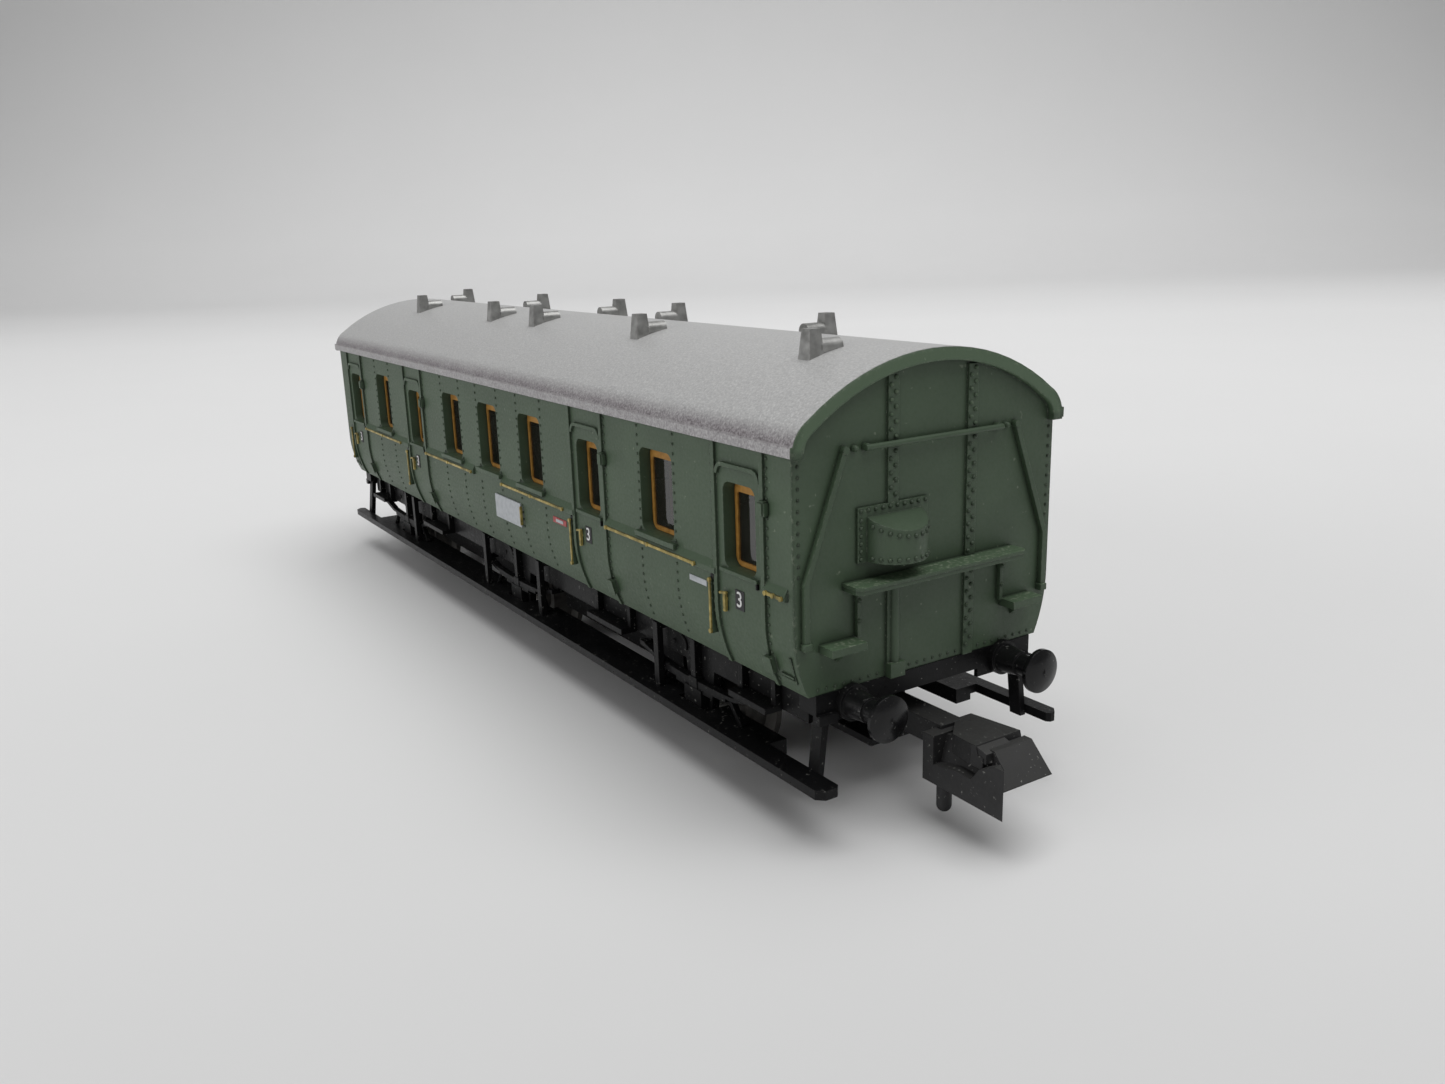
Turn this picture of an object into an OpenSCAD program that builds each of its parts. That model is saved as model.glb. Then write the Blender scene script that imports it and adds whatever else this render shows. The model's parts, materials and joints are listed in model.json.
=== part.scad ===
// Three-axle compartment coach, modelled at 1:160 for 9 mm track.
// Front is +X, left is +Y, up is +Z. Z = 0 is where the wheel flanges touch a table.

/* [Body] */
// Length of the body over its end walls
body_len = 78; // [77:0.25:79]
// Width of the body at the waist
body_w = 18.08; // [17.9:0.02:18.2]
// Height of the body's bottom edge
body_bottom = 8.3; // [8.25:0.01:8.35]
// Height of the eaves, where the sides end
eave_z = 20.9; // [20.7:0.05:21.1]
// Thickness of the body walls
wall = 1; // [0.9:0.05:1.1]
// Height where the lower sides start to draw in
tumble_top = 12; // [11.5:0.1:12.4]
// How far each side is drawn in at its bottom edge
tumble_in = 0.84; // [0.6:0.02:0.9]
// How far doors, strips and beads stand out of the walls
relief = 0.16; // [0.12:0.01:0.2]

/* [Windows and doors] */
// Distance of the inner pair of wide windows from the middle
window_1_x = 7.75; // [7.5:0.05:8]
// Distance of the outer pair of wide windows from the middle
window_2_x = 25.65; // [25.4:0.05:25.9]
// Distance of the inner doors from the middle
door_1_x = 16.8; // [16.6:0.05:17]
// Distance of the outer doors from the middle
door_2_x = 34.3; // [34.2:0.05:34.4]
// Width of a wide window opening
window_w = 3.75; // [3.6:0.05:3.9]
// Bottom of the wide windows
window_z0 = 14.3; // [14.2:0.05:14.4]
// Top of the wide windows
window_z1 = 19.4; // [19.2:0.05:19.5]
// Width of a door window opening
door_window_w = 3; // [2.8:0.05:3.2]
// Bottom of the door windows
door_window_z0 = 14.05; // [14:0.05:14.2]
// Top of the door windows
door_window_z1 = 18.8; // [18.6:0.05:19]
// Width of a door leaf
door_w = 4.5; // [4.3:0.05:4.6]
// Corner radius of the openings
opening_r = 0.55; // [0.4:0.05:0.7]
// Width of the ochre frame inside each opening
frame_w = 0.28; // [0.24:0.02:0.36]
// Depth of that frame's top bar
frame_top = 0.66; // [0.6:0.02:0.7]

/* [Roof] */
// Height of the roof's crown
roof_top = 25.48; // [25.3:0.02:25.6]
// Radius of the roof's arch
roof_r = 13.8; // [13.7:0.05:13.9]
// Radius of the roof's haunches above the eaves
haunch_r = 1.9; // [1.8:0.05:2]
// Thickness of the roof
roof_t = 0.5; // [0.45:0.01:0.55]
// Half the width of the roof over its eave lips
lip_y = 9.42; // [9.4:0.01:9.45]
// Height of the eave lip
lip_h = 0.55; // [0.5:0.05:0.65]
// How far the rim stands out over each end wall
rim_out = 0.45; // [0.3:0.05:0.6]
// Thickness of that rim, seen from the end
rim_t = 0.7; // [0.65:0.05:0.8]
// Height of a ventilator's post above the roof
vent_h = 1.45; // [1.2:0.05:1.6]

/* [Running gear] */
// Distance of the outer axles from the middle one
axle_x = 26.7; // [26.5:0.05:26.9]
// Radius of the wheel's tread
tread_r = 3.1; // [3:0.05:3.2]
// Radius of the wheel's flange
flange_r = 4; // [3.8:0.05:4]
// Distance between the backs of two wheels
back_to_back = 7.5; // [7.4:0.05:7.6]
// Width of a wheel
wheel_w = 2.2; // [2:0.05:2.25]
// Radius of an axle between its wheels
axle_r = 0.75; // [0.7:0.05:0.8]
// Radius of an axle's end pins
pin_r = 0.5; // [0.4:0.05:0.55]
// Gap round each pin in its axlebox
pin_gap = 0.05; // [0.03:0.01:0.08]

/* [Underframe] */
// Inner face of the solebars, from the middle
solebar_y = 6.65; // [6.6:0.01:6.7]
// Thickness of a solebar
solebar_t = 0.5; // [0.45:0.05:0.5]
// Height of a solebar's lower edge
solebar_z = 6.15; // [6.1:0.05:6.25]
// Height of the buffers' centre line
buffer_z = 7.5; // [7.4:0.05:7.6]
// Distance between the buffers' centre lines
buffer_gauge = 10.94; // [10.8:0.02:11]
// Radius of a buffer's head
buffer_r = 1.25; // [1.15:0.02:1.3]
// Length over both buffers
over_buffers = 84.8; // [84.4:0.1:85.2]
// Underside of the lower footboards
footboard_z = 3.3; // [3.26:0.02:3.4]
// Thickness of a lower footboard at its outer edge
footboard_t = 0.54; // [0.48:0.02:0.6]
// Thickness of the boards and steps on the end walls
board_t = 0.42; // [0.4:0.02:0.44]
// Outer edge of the lower footboards
footboard_y = 8.8; // [8.7:0.05:8.9]
// Length of a lower footboard
footboard_len = 81.3; // [81:0.1:81.6]

/* [Couplers] */
// Place of the upright peg that a coupler swings on
peg_x = 33.2; // [33:0.05:33.4]
// Radius of that peg
peg_r = 0.7; // [0.6:0.05:0.75]
// Back of the coupler's head
hook_x = 40.55; // [40.4:0.05:40.7]
// Width of the coupler's head
hook_w = 3.5; // [3.4:0.05:3.6]
// Height of the cross pin that a coupler lifts on
lift_z = 4.8; // [4.75:0.05:4.85]

/* [Hidden] */
$fn = 48;

green = "#55624f";
silver = "#b4b3b0";
ochre = "#b5792c";
brown = "#3b2820";
black = "#26262a";
brass = "#b39a4a";
steel = "#8d8a85";
clear = "#c8d2d280";

// A cut or an overlap that keeps faces from lying on each other
eps = 0.02;

// Body
end_x = body_len / 2;
half_w = body_w / 2;
inner_y = half_w - wall;
tumble_h = tumble_top - body_bottom;
tumble_r = (tumble_h * tumble_h + tumble_in * tumble_in) / (2 * tumble_in);
tumble_steps = 8;
window_x = [-window_2_x, -window_1_x, 0, window_1_x, window_2_x];
door_x = [-door_2_x, -door_1_x, door_1_x, door_2_x];
bead_w = 0.32;
bead_depth = 0.3;
hood_w = door_w - bead_w - 0.08;
hood_z0 = 19.15;
hood_z1 = 19.82;
hood_t = 0.22;
hood_r = 0.65;
door_sill_w = door_window_w + 0.5;
door_sill_h = 0.2;
door_sill_out = 0.2;
sill_h = 0.3;
sill_w = window_w + 0.8;
sill_out = 0.34;
ledge_out = 0.22;
ledge_z0 = 13.5;
ledge_z1 = 13.8;
ledge_z2 = 14.2;
grab_web_w = 0.2;
grab_web_depth = 0.6;
strip_y = 2.75;
strip_w = 0.7;
pipe_y = -2.62;
pipe_r = 0.26;
pipe_foot_half = 0.5;
pipe_foot_out = 0.5;
pipe_foot_h = 0.8;

// Roof
arch_z = roof_top - roof_r;
lip_out = 0.12;
haunch_y = lip_y - lip_out - haunch_r;
haunch_z = arch_z + sqrt((roof_r - haunch_r) * (roof_r - haunch_r) - haunch_y * haunch_y);
rim_front = 0.07;
rim_skin = 0.14;
rim_foot = 0.1;
roof_fn = 180;
vent_y = 3.85;
vent_post_w = 1.05;
vent_post_top = 0.72;
vent_pipe_r = 0.5;
vent_pipe_len = 1.25;
vents_right_x = [33.8, 15.2, -1.2, -9.7, -27.4];
vents_left_x = [25.2, 7.3, -2.1, -16.9, -35.5];

// Window frames and glazing
frame_t = 0.1;
frame_r = 0.12;
glazing_t = 0.4;
pane_y = inner_y + 0.16;
pane_gap = 0.04;
glazing_z0 = 13.4;
glazing_z1 = 20;
glazing_len = body_len - 2 * wall - 1.2;

// Brass rails and handles
rail_r = 0.16;
rail_w = 0.16;
rail_t = 0.08;
rail_knob_r = 0.13;
grab_y = half_w + 0.2;
grab_z0 = 10;
grab_z1 = 13.2;
grab_off = door_w / 2 + 0.5;
handle_off = door_w / 2 - 0.85;
handle_z0 = 11.6;
handle_z1 = 12.65;
handle_w = 0.22;
handle_t = 0.16;
ledge_spans = [
    [door_1_x + door_w / 2, door_2_x - door_w / 2],
    [door_2_x + door_w / 2, end_x - 0.45],
    [-door_2_x + door_w / 2, -door_1_x - door_w / 2],
    [2.2, door_1_x - door_w / 2],
    [-door_1_x + door_w / 2, -3.4]
];
rail_ends = [[0.25, 1.95], [0.25, 0.15], [0.25, 1.95], [0.2, 1.4], [0.25, 0.2]];

// End wall fittings
end_board_y = 6;
end_board_out = 1.42;
end_board_lip = 0.06;
end_board_lip_h = 0.18;
end_board_corner = 0.3;
end_board_z = 13.6;
end_post_y = 5.1;
end_post_w = 0.22;
end_post_out = 0.3;
end_step_y0 = 5.25;
end_step_y1 = 7.5;
end_step_out = 1.15;
end_step_z = 10.6;
box_y = -2.7;
box_r = 1.8;
box_z0 = 14.92;
box_z1 = 17.3;
box_lid_drop = 0.65;
box_pin_r = 0.1;
box_pin_h = 0.35;
box_flange_y0 = -5.08;
box_flange_y1 = -0.37;
box_flange_z0 = 14.9;
box_flange_z1 = 17.8;
box_flange_t = 0.16;
end_rail_z = 20.88;
end_rail_y = 4.75;
end_rail_off = 0.36;
stay_head_y = 5.95;
stay_w = 0.32;
stay_boss_r = 0.2;
stay_y = 8.42;
stay_z0 = 11.2;
stay_z1 = 14.4;

// Underframe
floor_z = 7.3;
solebar_out = solebar_y + solebar_t;
frame_x = end_x - 1.4;
headstock_z = 7.15;
headstock_y = 7.75;
headstock_x = end_x + 0.05;
headstock_ledge_out = 0.3;
headstock_ledge_z0 = 6.7;
headstock_ledge_z1 = 7.2;
axle_z = flange_r;
axles_x = [axle_x, 0, -axle_x];
axle_shift = 0.4;
wheel_slot_y0 = 3.1;
wheel_slot_y1 = solebar_y - 0.05;
wheel_slot_half = flange_r + 0.3;
girder_x0 = wheel_slot_half + 0.3;
girder_x1 = axle_x - wheel_slot_half - 0.3;
girder_y = 5.2;
girder_t = 0.4;
girder_z = 3.9;
ballast_t = 1;
ballast_len = 60;
ballast_w = 11;

// Axle guards
guard_foot_z = 3.1;
guard_foot_half = 1.15;
guard_top_half = 1.6;
axlebox_half = 0.95;
axlebox_y = 7.75;
bore_end_y = axlebox_y - 0.15;
end_axle_half = bore_end_y - 0.15;
end_shoulder = 6.5;
centre_axle_half = bore_end_y - axle_shift - pin_gap;
centre_shoulder = 6.2;
leaf_t = 0.24;
leaf_y = 0.5;
leaf_half = [4.4, 3.5, 2.1];
leaf_r = 60;
leaf_z = 5.33;
buckle_half = 0.45;
buckle_z0 = 4.3;
buckle_z1 = 5.5;
link_w = 0.3;
link_x = leaf_half[0] + 1.9;
link_z = 5.85;
guard_post_half = 0.25;
guard_post_z0 = buckle_z1 - 0.1;
guard_post_z1 = 7.9;
leaf_steps = 12;

// Footboards, straps and door steps
footboard_in = 6.25;
footboard_wide = [-34.8, 34.3];
footboard_end_w = [0.9, 1.35];
footboard_top = footboard_z + footboard_t;
footboard_corner = 0.4;
ledge_z = 2.92;
notch_half = 1.6;
wheel_recess_half = flange_r + 0.3;
wheel_recess_y = back_to_back / 2 + wheel_w + axle_shift + 0.3;
notch_y = axlebox_y + 0.05;
strap_x = [-23, -5.3, 5.3, 23];
strap_w = 0.55;
strap_t = 0.4;
strap_y = 8.1;
strap_top = 8.1;
strap_tab = 0.45;
end_strap_x = 38.36;
end_strap_w = 0.84;
end_strap_lean = 0.5;
end_strap_foot = 0.15;
door_step_z = 6.08;
door_step_t = 0.36;
door_step_y = 8.3;
step_post_w = 0.4;
inner_step = [-3, 2];
outer_step = [-2.7, 0.9];

// Couplers
pocket_x0 = 31.5;
pocket_x1 = 37.15;
pocket_wall_x1 = 34.2;
pocket_y = 2.5;
pocket_t = 0.42;
pocket_z = 3.38;
swivel_r = 1.2;
swivel_z0 = 3.88;
swivel_z1 = 6;
trunnion_r = 0.35;
cheek_y0 = 1.28;
cheek_y1 = 1.72;
shank_y = 0.8;
shank_z0 = 4.15;
shank_z1 = 5.5;
hook_half = hook_w / 2;
hook_len = 5.85;
hook_plate_t = 0.6;
hook_bevel = 0.9;
hook_z0 = 2.6;
hook_top_z0 = 4.55;
hook_top_z1 = 5.45;
hook_top_z2 = 5.74;
hook_groove_z = 5.2;
hook_bridge_y0 = -1.4;
hook_bridge_y1 = 0.57;
hook_ramp_z0 = 3;
hook_ramp_x1 = 4.2;
trip_x = 0.91;
trip_y = -1;
trip_r = 0.42;
trip_h = 2.3;
trip_z = 0.79;

// Half width of the body side at height z
function side_half(z) =
    z >= tumble_top ? half_w
    : half_w - tumble_r + sqrt(tumble_r * tumble_r - (tumble_top - z) * (tumble_top - z));

// Height of a circular arch of radius r about the roof's axis, at distance y from the middle
function arch_at(r, y) = arch_z + sqrt(r * r - y * y);

// Where the arch meets the haunch, with both drawn in by d
function haunch_reach(d) = (roof_r - d) * haunch_y / (roof_r - haunch_r);

// Height of a leaf spring's curve at distance x from its middle
function leaf_at(x) = leaf_r - sqrt(leaf_r * leaf_r - x * x);

// Outline points of one side from its bottom edge to height top, moved outward by d
function side_points(d, top) = concat(
    [for (i = [0 : tumble_steps])
        let (z = body_bottom + tumble_h * i / tumble_steps)
        [side_half(z) + d, z]],
    [[half_w + d, top]]
);

// The same points in the opposite order on the other side
function other_side(points) = [for (i = [len(points) - 1 : -1 : 0]) [-points[i][0], points[i][1]]];

// Extrude a y-z outline along X
module plate_x(x0, x1) {
    translate([x0, 0, 0])
        rotate([90, 0, 90])
            linear_extrude(height = x1 - x0)
                children();
}

// Extrude an x-z outline along Y
module plate_y(y0, y1) {
    translate([0, y1, 0])
        rotate([90, 0, 0])
            linear_extrude(height = y1 - y0)
                children();
}

// A box given by its low and high corners
module block(low, high) {
    translate(low)
        cube(high - low);
}

// A round bar between two heights, along X and along Y
module bar_x(x0, x1, r) {
    translate([x0, 0, 0])
        rotate([0, 90, 0])
            cylinder(r = r, h = x1 - x0);
}

module bar_y(y0, y1, r) {
    translate([0, y1, 0])
        rotate([90, 0, 0])
            cylinder(r = r, h = y1 - y0);
}

// Parts drawn for the +Y side go to the right side (-Y), or turned round to the left side
module right_side() {
    mirror([0, 1, 0])
        children();
}

module left_side() {
    rotate([0, 0, 180])
        right_side()
            children();
}

// Parts drawn for the front go to the rear, turned round
module rear() {
    rotate([0, 0, 180])
        children();
}

// A rectangle with four round corners
module round_rect(w, z0, z1, r) {
    translate([-w / 2, z0 + r])
        square([w, z1 - z0 - 2 * r]);
    translate([-w / 2 + r, z0])
        square([w - 2 * r, z1 - z0]);
    for (x = [-w / 2 + r, w / 2 - r], z = [z0 + r, z1 - r])
        translate([x, z])
            circle(r = r);
}

// The solid outline of the body under its roof, moved outward by d
module body_outline(d) {
    points = side_points(d, eave_z);
    polygon(concat(points, other_side(points)));
}

// The space under the roof's outline from x0 to x1, drawn in by d and closed below at the eaves
module roof_space(x0, x1, d) {
    reach = haunch_reach(d);
    intersection() {
        union() {
            intersection() {
                translate([0, 0, arch_z])
                    bar_x(x0, x1, roof_r - d, $fn = roof_fn);
                block([x0, -reach, eave_z - 1], [x1, reach, roof_top]);
            }
            for (s = [-1, 1])
                translate([0, s * haunch_y, haunch_z])
                    bar_x(x0, x1, haunch_r - d + eps);
        }
        block([x0, -lip_y, eave_z - 1], [x1, lip_y, roof_top]);
    }
}

module body_block() {
    plate_x(-end_x, end_x)
        body_outline(0);
    roof_space(-end_x, end_x, roof_t);
}

module body_cavity() {
    points = [for (p = side_points(-wall, roof_top)) [p[0], p[1] == body_bottom ? p[1] - 1 : p[1]]];
    plate_x(-end_x + wall, end_x - wall)
        polygon(concat(points, other_side(points)));
}

module openings_cut() {
    for (x = window_x)
        translate([x, 0, 0])
            plate_y(inner_y - 1, half_w + 1)
                round_rect(window_w, window_z0, window_z1, opening_r);
    for (x = door_x)
        translate([x, 0, 0])
            plate_y(inner_y - 1, half_w + 1)
                round_rect(door_window_w, door_window_z0, door_window_z1, opening_r);
}

// A bead over the door's window with round upper corners, as an x-z outline
module door_hood_outline() {
    difference() {
        round_rect(hood_w, hood_z0 - 2 * hood_r, hood_z1, hood_r);
        round_rect(hood_w - 2 * hood_t, hood_z0 - 3 * hood_r, hood_z1 - hood_t, hood_r - hood_t);
        translate([-hood_w, hood_z0 - 3 * hood_r])
            square([2 * hood_w, 3 * hood_r]);
    }
}

// The upright beads and the hood of one door, as an x-z outline
module door_bead_outline() {
    for (s = [-1, 1])
        translate([s * door_w / 2 - bead_w / 2, body_bottom])
            square([bead_w, eave_z - body_bottom]);
    door_hood_outline();
}

// A skin that follows the tumblehome, thick enough to root in the wall
module side_skin(out) {
    plate_x(-end_x, end_x)
        difference() {
            body_outline(out);
            translate([-half_w - 1, 0])
                square([half_w + 1, roof_top]);
            polygon(concat(
                side_points(-bead_depth, eave_z + 1),
                [
                    [-1, eave_z + 1],
                    [-1, body_bottom - 1],
                    [side_half(body_bottom) - bead_depth, body_bottom - 1]
                ]
            ));
        }
}

module side_beads() {
    intersection() {
        side_skin(relief);
        union()
            for (x = door_x)
                translate([x, 0, 0])
                    plate_y(0, half_w + 1)
                        door_bead_outline();
    }
    for (x = window_x)
        block([x - sill_w / 2, half_w - bead_depth, window_z0 - sill_h],
            [x + sill_w / 2, half_w + sill_out, window_z0]);
    for (x = door_x)
        block([x - door_sill_w / 2, half_w - bead_depth, door_window_z0 - door_sill_h],
            [x + door_sill_w / 2, half_w + door_sill_out, door_window_z0]);
    for (s = ledge_spans)
        plate_x(s[0], s[1])
            waist_ledge_outline();
    for (x = door_x)
        translate([x - grab_off, 0, 0])
            block([-grab_web_w / 2, half_w - grab_web_depth, grab_z0], [grab_web_w / 2, grab_y, grab_z1]);
}

// The ledge that carries a waist rail, with a sloping top, as a y-z outline
module waist_ledge_outline() {
    polygon([
        [half_w - bead_depth, ledge_z0],
        [half_w + ledge_out, ledge_z0],
        [half_w + ledge_out, ledge_z1],
        [half_w, ledge_z2],
        [half_w - bead_depth, ledge_z2]
    ]);
}

// Raised strips on the end wall: [y, bottom, top], and a pipe with a foot on one of them
module end_strips() {
    top_z = arch_at(roof_r - rim_t, strip_y + strip_w) + 0.1;
    for (s = [
        [strip_y, body_bottom, end_board_z],
        [strip_y, end_board_z + board_t, top_z],
        [-strip_y, body_bottom, end_board_z],
        [-strip_y, box_flange_z1, top_z]
    ])
        block([end_x - wall / 2, s[0] - strip_w / 2, s[1]], [end_x + relief, s[0] + strip_w / 2, s[2]]);
    translate([end_x + relief, pipe_y, body_bottom])
        cylinder(r = pipe_r, h = end_board_z - body_bottom);
    block([end_x - wall / 2, pipe_y - pipe_foot_half, body_bottom],
        [end_x + pipe_foot_out, pipe_y + pipe_foot_half, body_bottom + pipe_foot_h]);
}

// The rim that stands out over an end wall, under the roof's end and flush with it in front
module end_rim() {
    x1 = end_x + rim_out;
    x0 = x1 - rim_front;
    difference() {
        intersection() {
            union() {
                roof_space(end_x - wall / 2, x1, rim_skin);
                roof_space(x0, x1, eps);
                block([x0, -lip_y + eps, eave_z], [x1, lip_y - eps, eave_z + lip_h]);
            }
            block([end_x, -lip_y, eave_z - rim_foot], [x1, lip_y, roof_top]);
        }
        roof_space(end_x - 1, end_x + 1, rim_t);
    }
}

module body_shell() {
    color(green) {
        difference() {
            union() {
                body_block();
                for (turn = [0, 180])
                    rotate([0, 0, turn])
                        right_side()
                            side_beads();
            }
            body_cavity();
            for (turn = [0, 180])
                rotate([0, 0, turn])
                    right_side()
                        openings_cut();
        }
        for (turn = [0, 180])
            rotate([0, 0, turn]) {
                end_strips();
                end_rim();
            }
    }
}

// A shell with eave lips, drawn out thin over the rim at each end
module roof() {
    x1 = end_x + rim_out - rim_front;
    color(silver)
        difference() {
            intersection() {
                union() {
                    roof_space(-x1, x1, 0);
                    block([-x1, -lip_y, eave_z], [x1, lip_y, eave_z + lip_h]);
                }
                block([-x1, -lip_y, eave_z], [x1, lip_y, roof_top]);
            }
            roof_space(-end_x - 1, end_x + 1, roof_t);
            for (turn = [0, 180])
                rotate([0, 0, turn])
                    roof_space(end_x, end_x + 1, rim_skin);
        }
}

// One ventilator on the +Y side: a tapered post, and a low pipe towards the ridge
module vent() {
    base_z = arch_at(roof_r, vent_y) - 0.35;
    top_z = arch_at(roof_r, vent_y) + vent_h;
    pipe_y = vent_y - vent_pipe_len;
    taper = [
        [-vent_post_w / 2, base_z],
        [vent_post_w / 2, base_z],
        [vent_post_top / 2, top_z],
        [-vent_post_top / 2, top_z]
    ];
    difference() {
        union() {
            intersection() {
                plate_x(-2, 2)
                    translate([vent_y, 0])
                        polygon(taper);
                plate_y(vent_y - 2, vent_y + 2)
                    polygon(taper);
            }
            translate([0, 0, arch_at(roof_r, pipe_y) + 0.1])
                bar_y(pipe_y - vent_post_w / 2, vent_y - vent_post_top / 2, vent_pipe_r);
        }
        translate([0, 0, arch_z])
            bar_x(-2, 2, roof_r, $fn = roof_fn);
    }
}

module roof_vents(places) {
    color(silver)
        for (x = places)
            translate([x, 0, 0])
                vent();
}

module roof_vents_right() {
    right_side()
        roof_vents(vents_right_x);
}

module roof_vents_left() {
    roof_vents(vents_left_x);
}

// A strip behind the openings with a pane that fills each of them
module glazing() {
    color(clear) {
        block([-glazing_len / 2, inner_y - glazing_t, glazing_z0], [glazing_len / 2, inner_y, glazing_z1]);
        for (x = window_x)
            translate([x, 0, 0])
                window_pane(window_w, window_z0, window_z1);
        for (x = door_x)
            translate([x, 0, 0])
                window_pane(door_window_w, door_window_z0, door_window_z1);
    }
}

module window_pane(w, z0, z1) {
    plate_y(inner_y - eps, pane_y)
        round_rect(w - 2 * pane_gap, z0 + pane_gap, z1 - pane_gap, opening_r);
}

// A flat frame on the face of a pane
module window_frame(w, z0, z1) {
    plate_y(pane_y, pane_y + frame_t)
        difference() {
            round_rect(w - 2 * eps, z0 + eps, z1 - eps, opening_r);
            round_rect(w - 2 * frame_w, z0 + frame_w, z1 - frame_top, frame_r);
        }
}

module window_frames() {
    color(ochre) {
        for (x = window_x)
            translate([x, 0, 0])
                window_frame(window_w, window_z0, window_z1);
        for (x = door_x)
            translate([x, 0, 0])
                window_frame(door_window_w, door_window_z0, door_window_z1);
    }
}

// Level brass rails on the fronts of the waist ledges, with a knob at each end and in the middle
module waist_rails() {
    y = half_w + ledge_out;
    z = (ledge_z0 + ledge_z1) / 2;
    color(brass)
        for (i = [0 : len(ledge_spans) - 1]) {
            x0 = ledge_spans[i][0] + rail_ends[i][0];
            x1 = ledge_spans[i][1] - rail_ends[i][1];
            block([x0, y, z - rail_w / 2], [x1, y + rail_t, z + rail_w / 2]);
            for (x = [x0 + rail_knob_r, (x0 + x1) / 2, x1 - rail_knob_r])
                translate([x, 0, z])
                    bar_y(y, y + 1.6 * rail_t, rail_knob_r);
        }
}

// The grab rail on its web beside each door, and the handle on the leaf
module door_handles() {
    color(brass)
        for (x = door_x) {
            translate([x - grab_off, 0, 0]) {
                block([-rail_w / 2, grab_y, grab_z0], [rail_w / 2, grab_y + rail_t, grab_z1]);
                for (z = [grab_z0 + rail_knob_r, grab_z1 - rail_knob_r])
                    translate([0, 0, z])
                        bar_y(grab_y, grab_y + 1.6 * rail_t, rail_knob_r);
            }
            translate([x - handle_off, 0, 0]) {
                block([-handle_w / 2, grab_y - handle_t, handle_z0], [handle_w / 2, grab_y, handle_z1]);
                translate([0, 0, handle_z1 - 0.35])
                    bar_y(half_w, grab_y, handle_w / 2);
            }
        }
}

// A board against the end wall from above, with cut front corners
module end_board_plan(out, half) {
    polygon([
        [end_x, -half],
        [end_x + out - end_board_corner, -half],
        [end_x + out, -half + end_board_corner],
        [end_x + out, half - end_board_corner],
        [end_x + out - end_board_corner, half],
        [end_x, half]
    ]);
}

// A long step board across the end wall, with a lip round its top, on two posts
module end_board() {
    color(green) {
        translate([0, 0, end_board_z])
            linear_extrude(height = board_t)
                end_board_plan(end_board_out - end_board_lip, end_board_y - end_board_lip);
        translate([0, 0, end_board_z + board_t - end_board_lip_h])
            linear_extrude(height = end_board_lip_h)
                end_board_plan(end_board_out, end_board_y);
        for (s = [-1, 1])
            block([end_x, s * end_post_y - end_post_w / 2, end_step_z + board_t],
                [end_x + end_post_out, s * end_post_y + end_post_w / 2, end_board_z + eps]);
    }
}

// A half-round box with a sloping lid, on a flange, and a small pin under it
module end_box() {
    back_x = end_x + box_flange_t / 2;
    color(green) {
        translate([end_x + box_r / 2, box_y, box_z0 - box_pin_h])
            cylinder(r = box_pin_r, h = box_pin_h + eps);
        block([end_x, box_flange_y0, box_flange_z0],
            [end_x + box_flange_t, box_flange_y1, box_flange_z1]);
        intersection() {
            translate([back_x, box_y, box_z0])
                cylinder(r = box_r, h = box_z1 - box_z0);
            plate_y(box_y - box_r - 1, box_y + box_r + 1)
                polygon([
                    [back_x, box_z0],
                    [back_x + box_r, box_z0],
                    [back_x + box_r, box_z1 - box_lid_drop],
                    [back_x, box_z1]
                ]);
        }
    }
}

module end_steps() {
    color(green)
        for (s = [0, 1])
            mirror([0, s, 0]) {
                block([end_x, end_step_y0, end_step_z],
                    [end_x + end_step_out, end_step_y1, end_step_z + board_t]);
                plate_y(end_step_y0 + 0.9, end_step_y0 + 1.2)
                    polygon([
                        [end_x, end_step_z - 0.7],
                        [end_x, end_step_z + eps],
                        [end_x + 0.8, end_step_z + eps]
                    ]);
            }
}

// The rail across the end wall on two stand-offs, and a bent stay at each side of it
module end_rail() {
    color(green) {
        translate([end_x + end_rail_off, 0, end_rail_z])
            bar_y(-end_rail_y, end_rail_y, rail_r);
        for (s = [0, 1])
            mirror([0, s, 0]) {
                translate([0, end_rail_y - 0.2, end_rail_z])
                    bar_x(end_x, end_x + end_rail_off, rail_r * 1.3);
                translate([0, stay_head_y, end_rail_z])
                    bar_x(end_x, end_x + end_rail_off, stay_boss_r);
                plate_x(end_x, end_x + stay_w)
                    polygon([
                        [stay_head_y - stay_w / 2, end_rail_z],
                        [stay_head_y + stay_w / 2, end_rail_z],
                        [stay_y + stay_w / 2, stay_z1],
                        [stay_y + stay_w / 2, stay_z0],
                        [stay_y - stay_w / 2, stay_z0],
                        [stay_y - stay_w / 2, stay_z1]
                    ]);
            }
    }
}

// Floor, seat backs and benches, one compartment to each window or door
module seat_insert() {
    insert_z = body_bottom + ballast_t;
    insert_y = 6.9;
    back_z = 16.6;
    seat_z = 12;
    seat_depth = 2.1;
    back_t = 0.5;
    centres = [0, window_1_x, door_1_x, window_2_x, door_2_x];
    backs = [for (i = [0 : 3], s = [-1, 1]) s * (centres[i] + centres[i + 1]) / 2];
    insert_x = end_x - wall - 0.4;
    color(brown) {
        block([-insert_x, -insert_y, insert_z], [insert_x, insert_y, insert_z + 0.4]);
        for (x = backs) {
            block([x - back_t / 2, -insert_y, insert_z], [x + back_t / 2, insert_y, back_z]);
            block([x - seat_depth, -insert_y, insert_z], [x + seat_depth, insert_y, seat_z]);
        }
        for (s = [0, 1])
            mirror([s, 0, 0])
                block([insert_x - seat_depth / 2, -insert_y, insert_z], [insert_x, insert_y, seat_z]);
    }
}

module ballast_weight() {
    color(steel)
        block([-ballast_len / 2, -ballast_w / 2, body_bottom],
            [ballast_len / 2, ballast_w / 2, body_bottom + ballast_t]);
}

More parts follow.
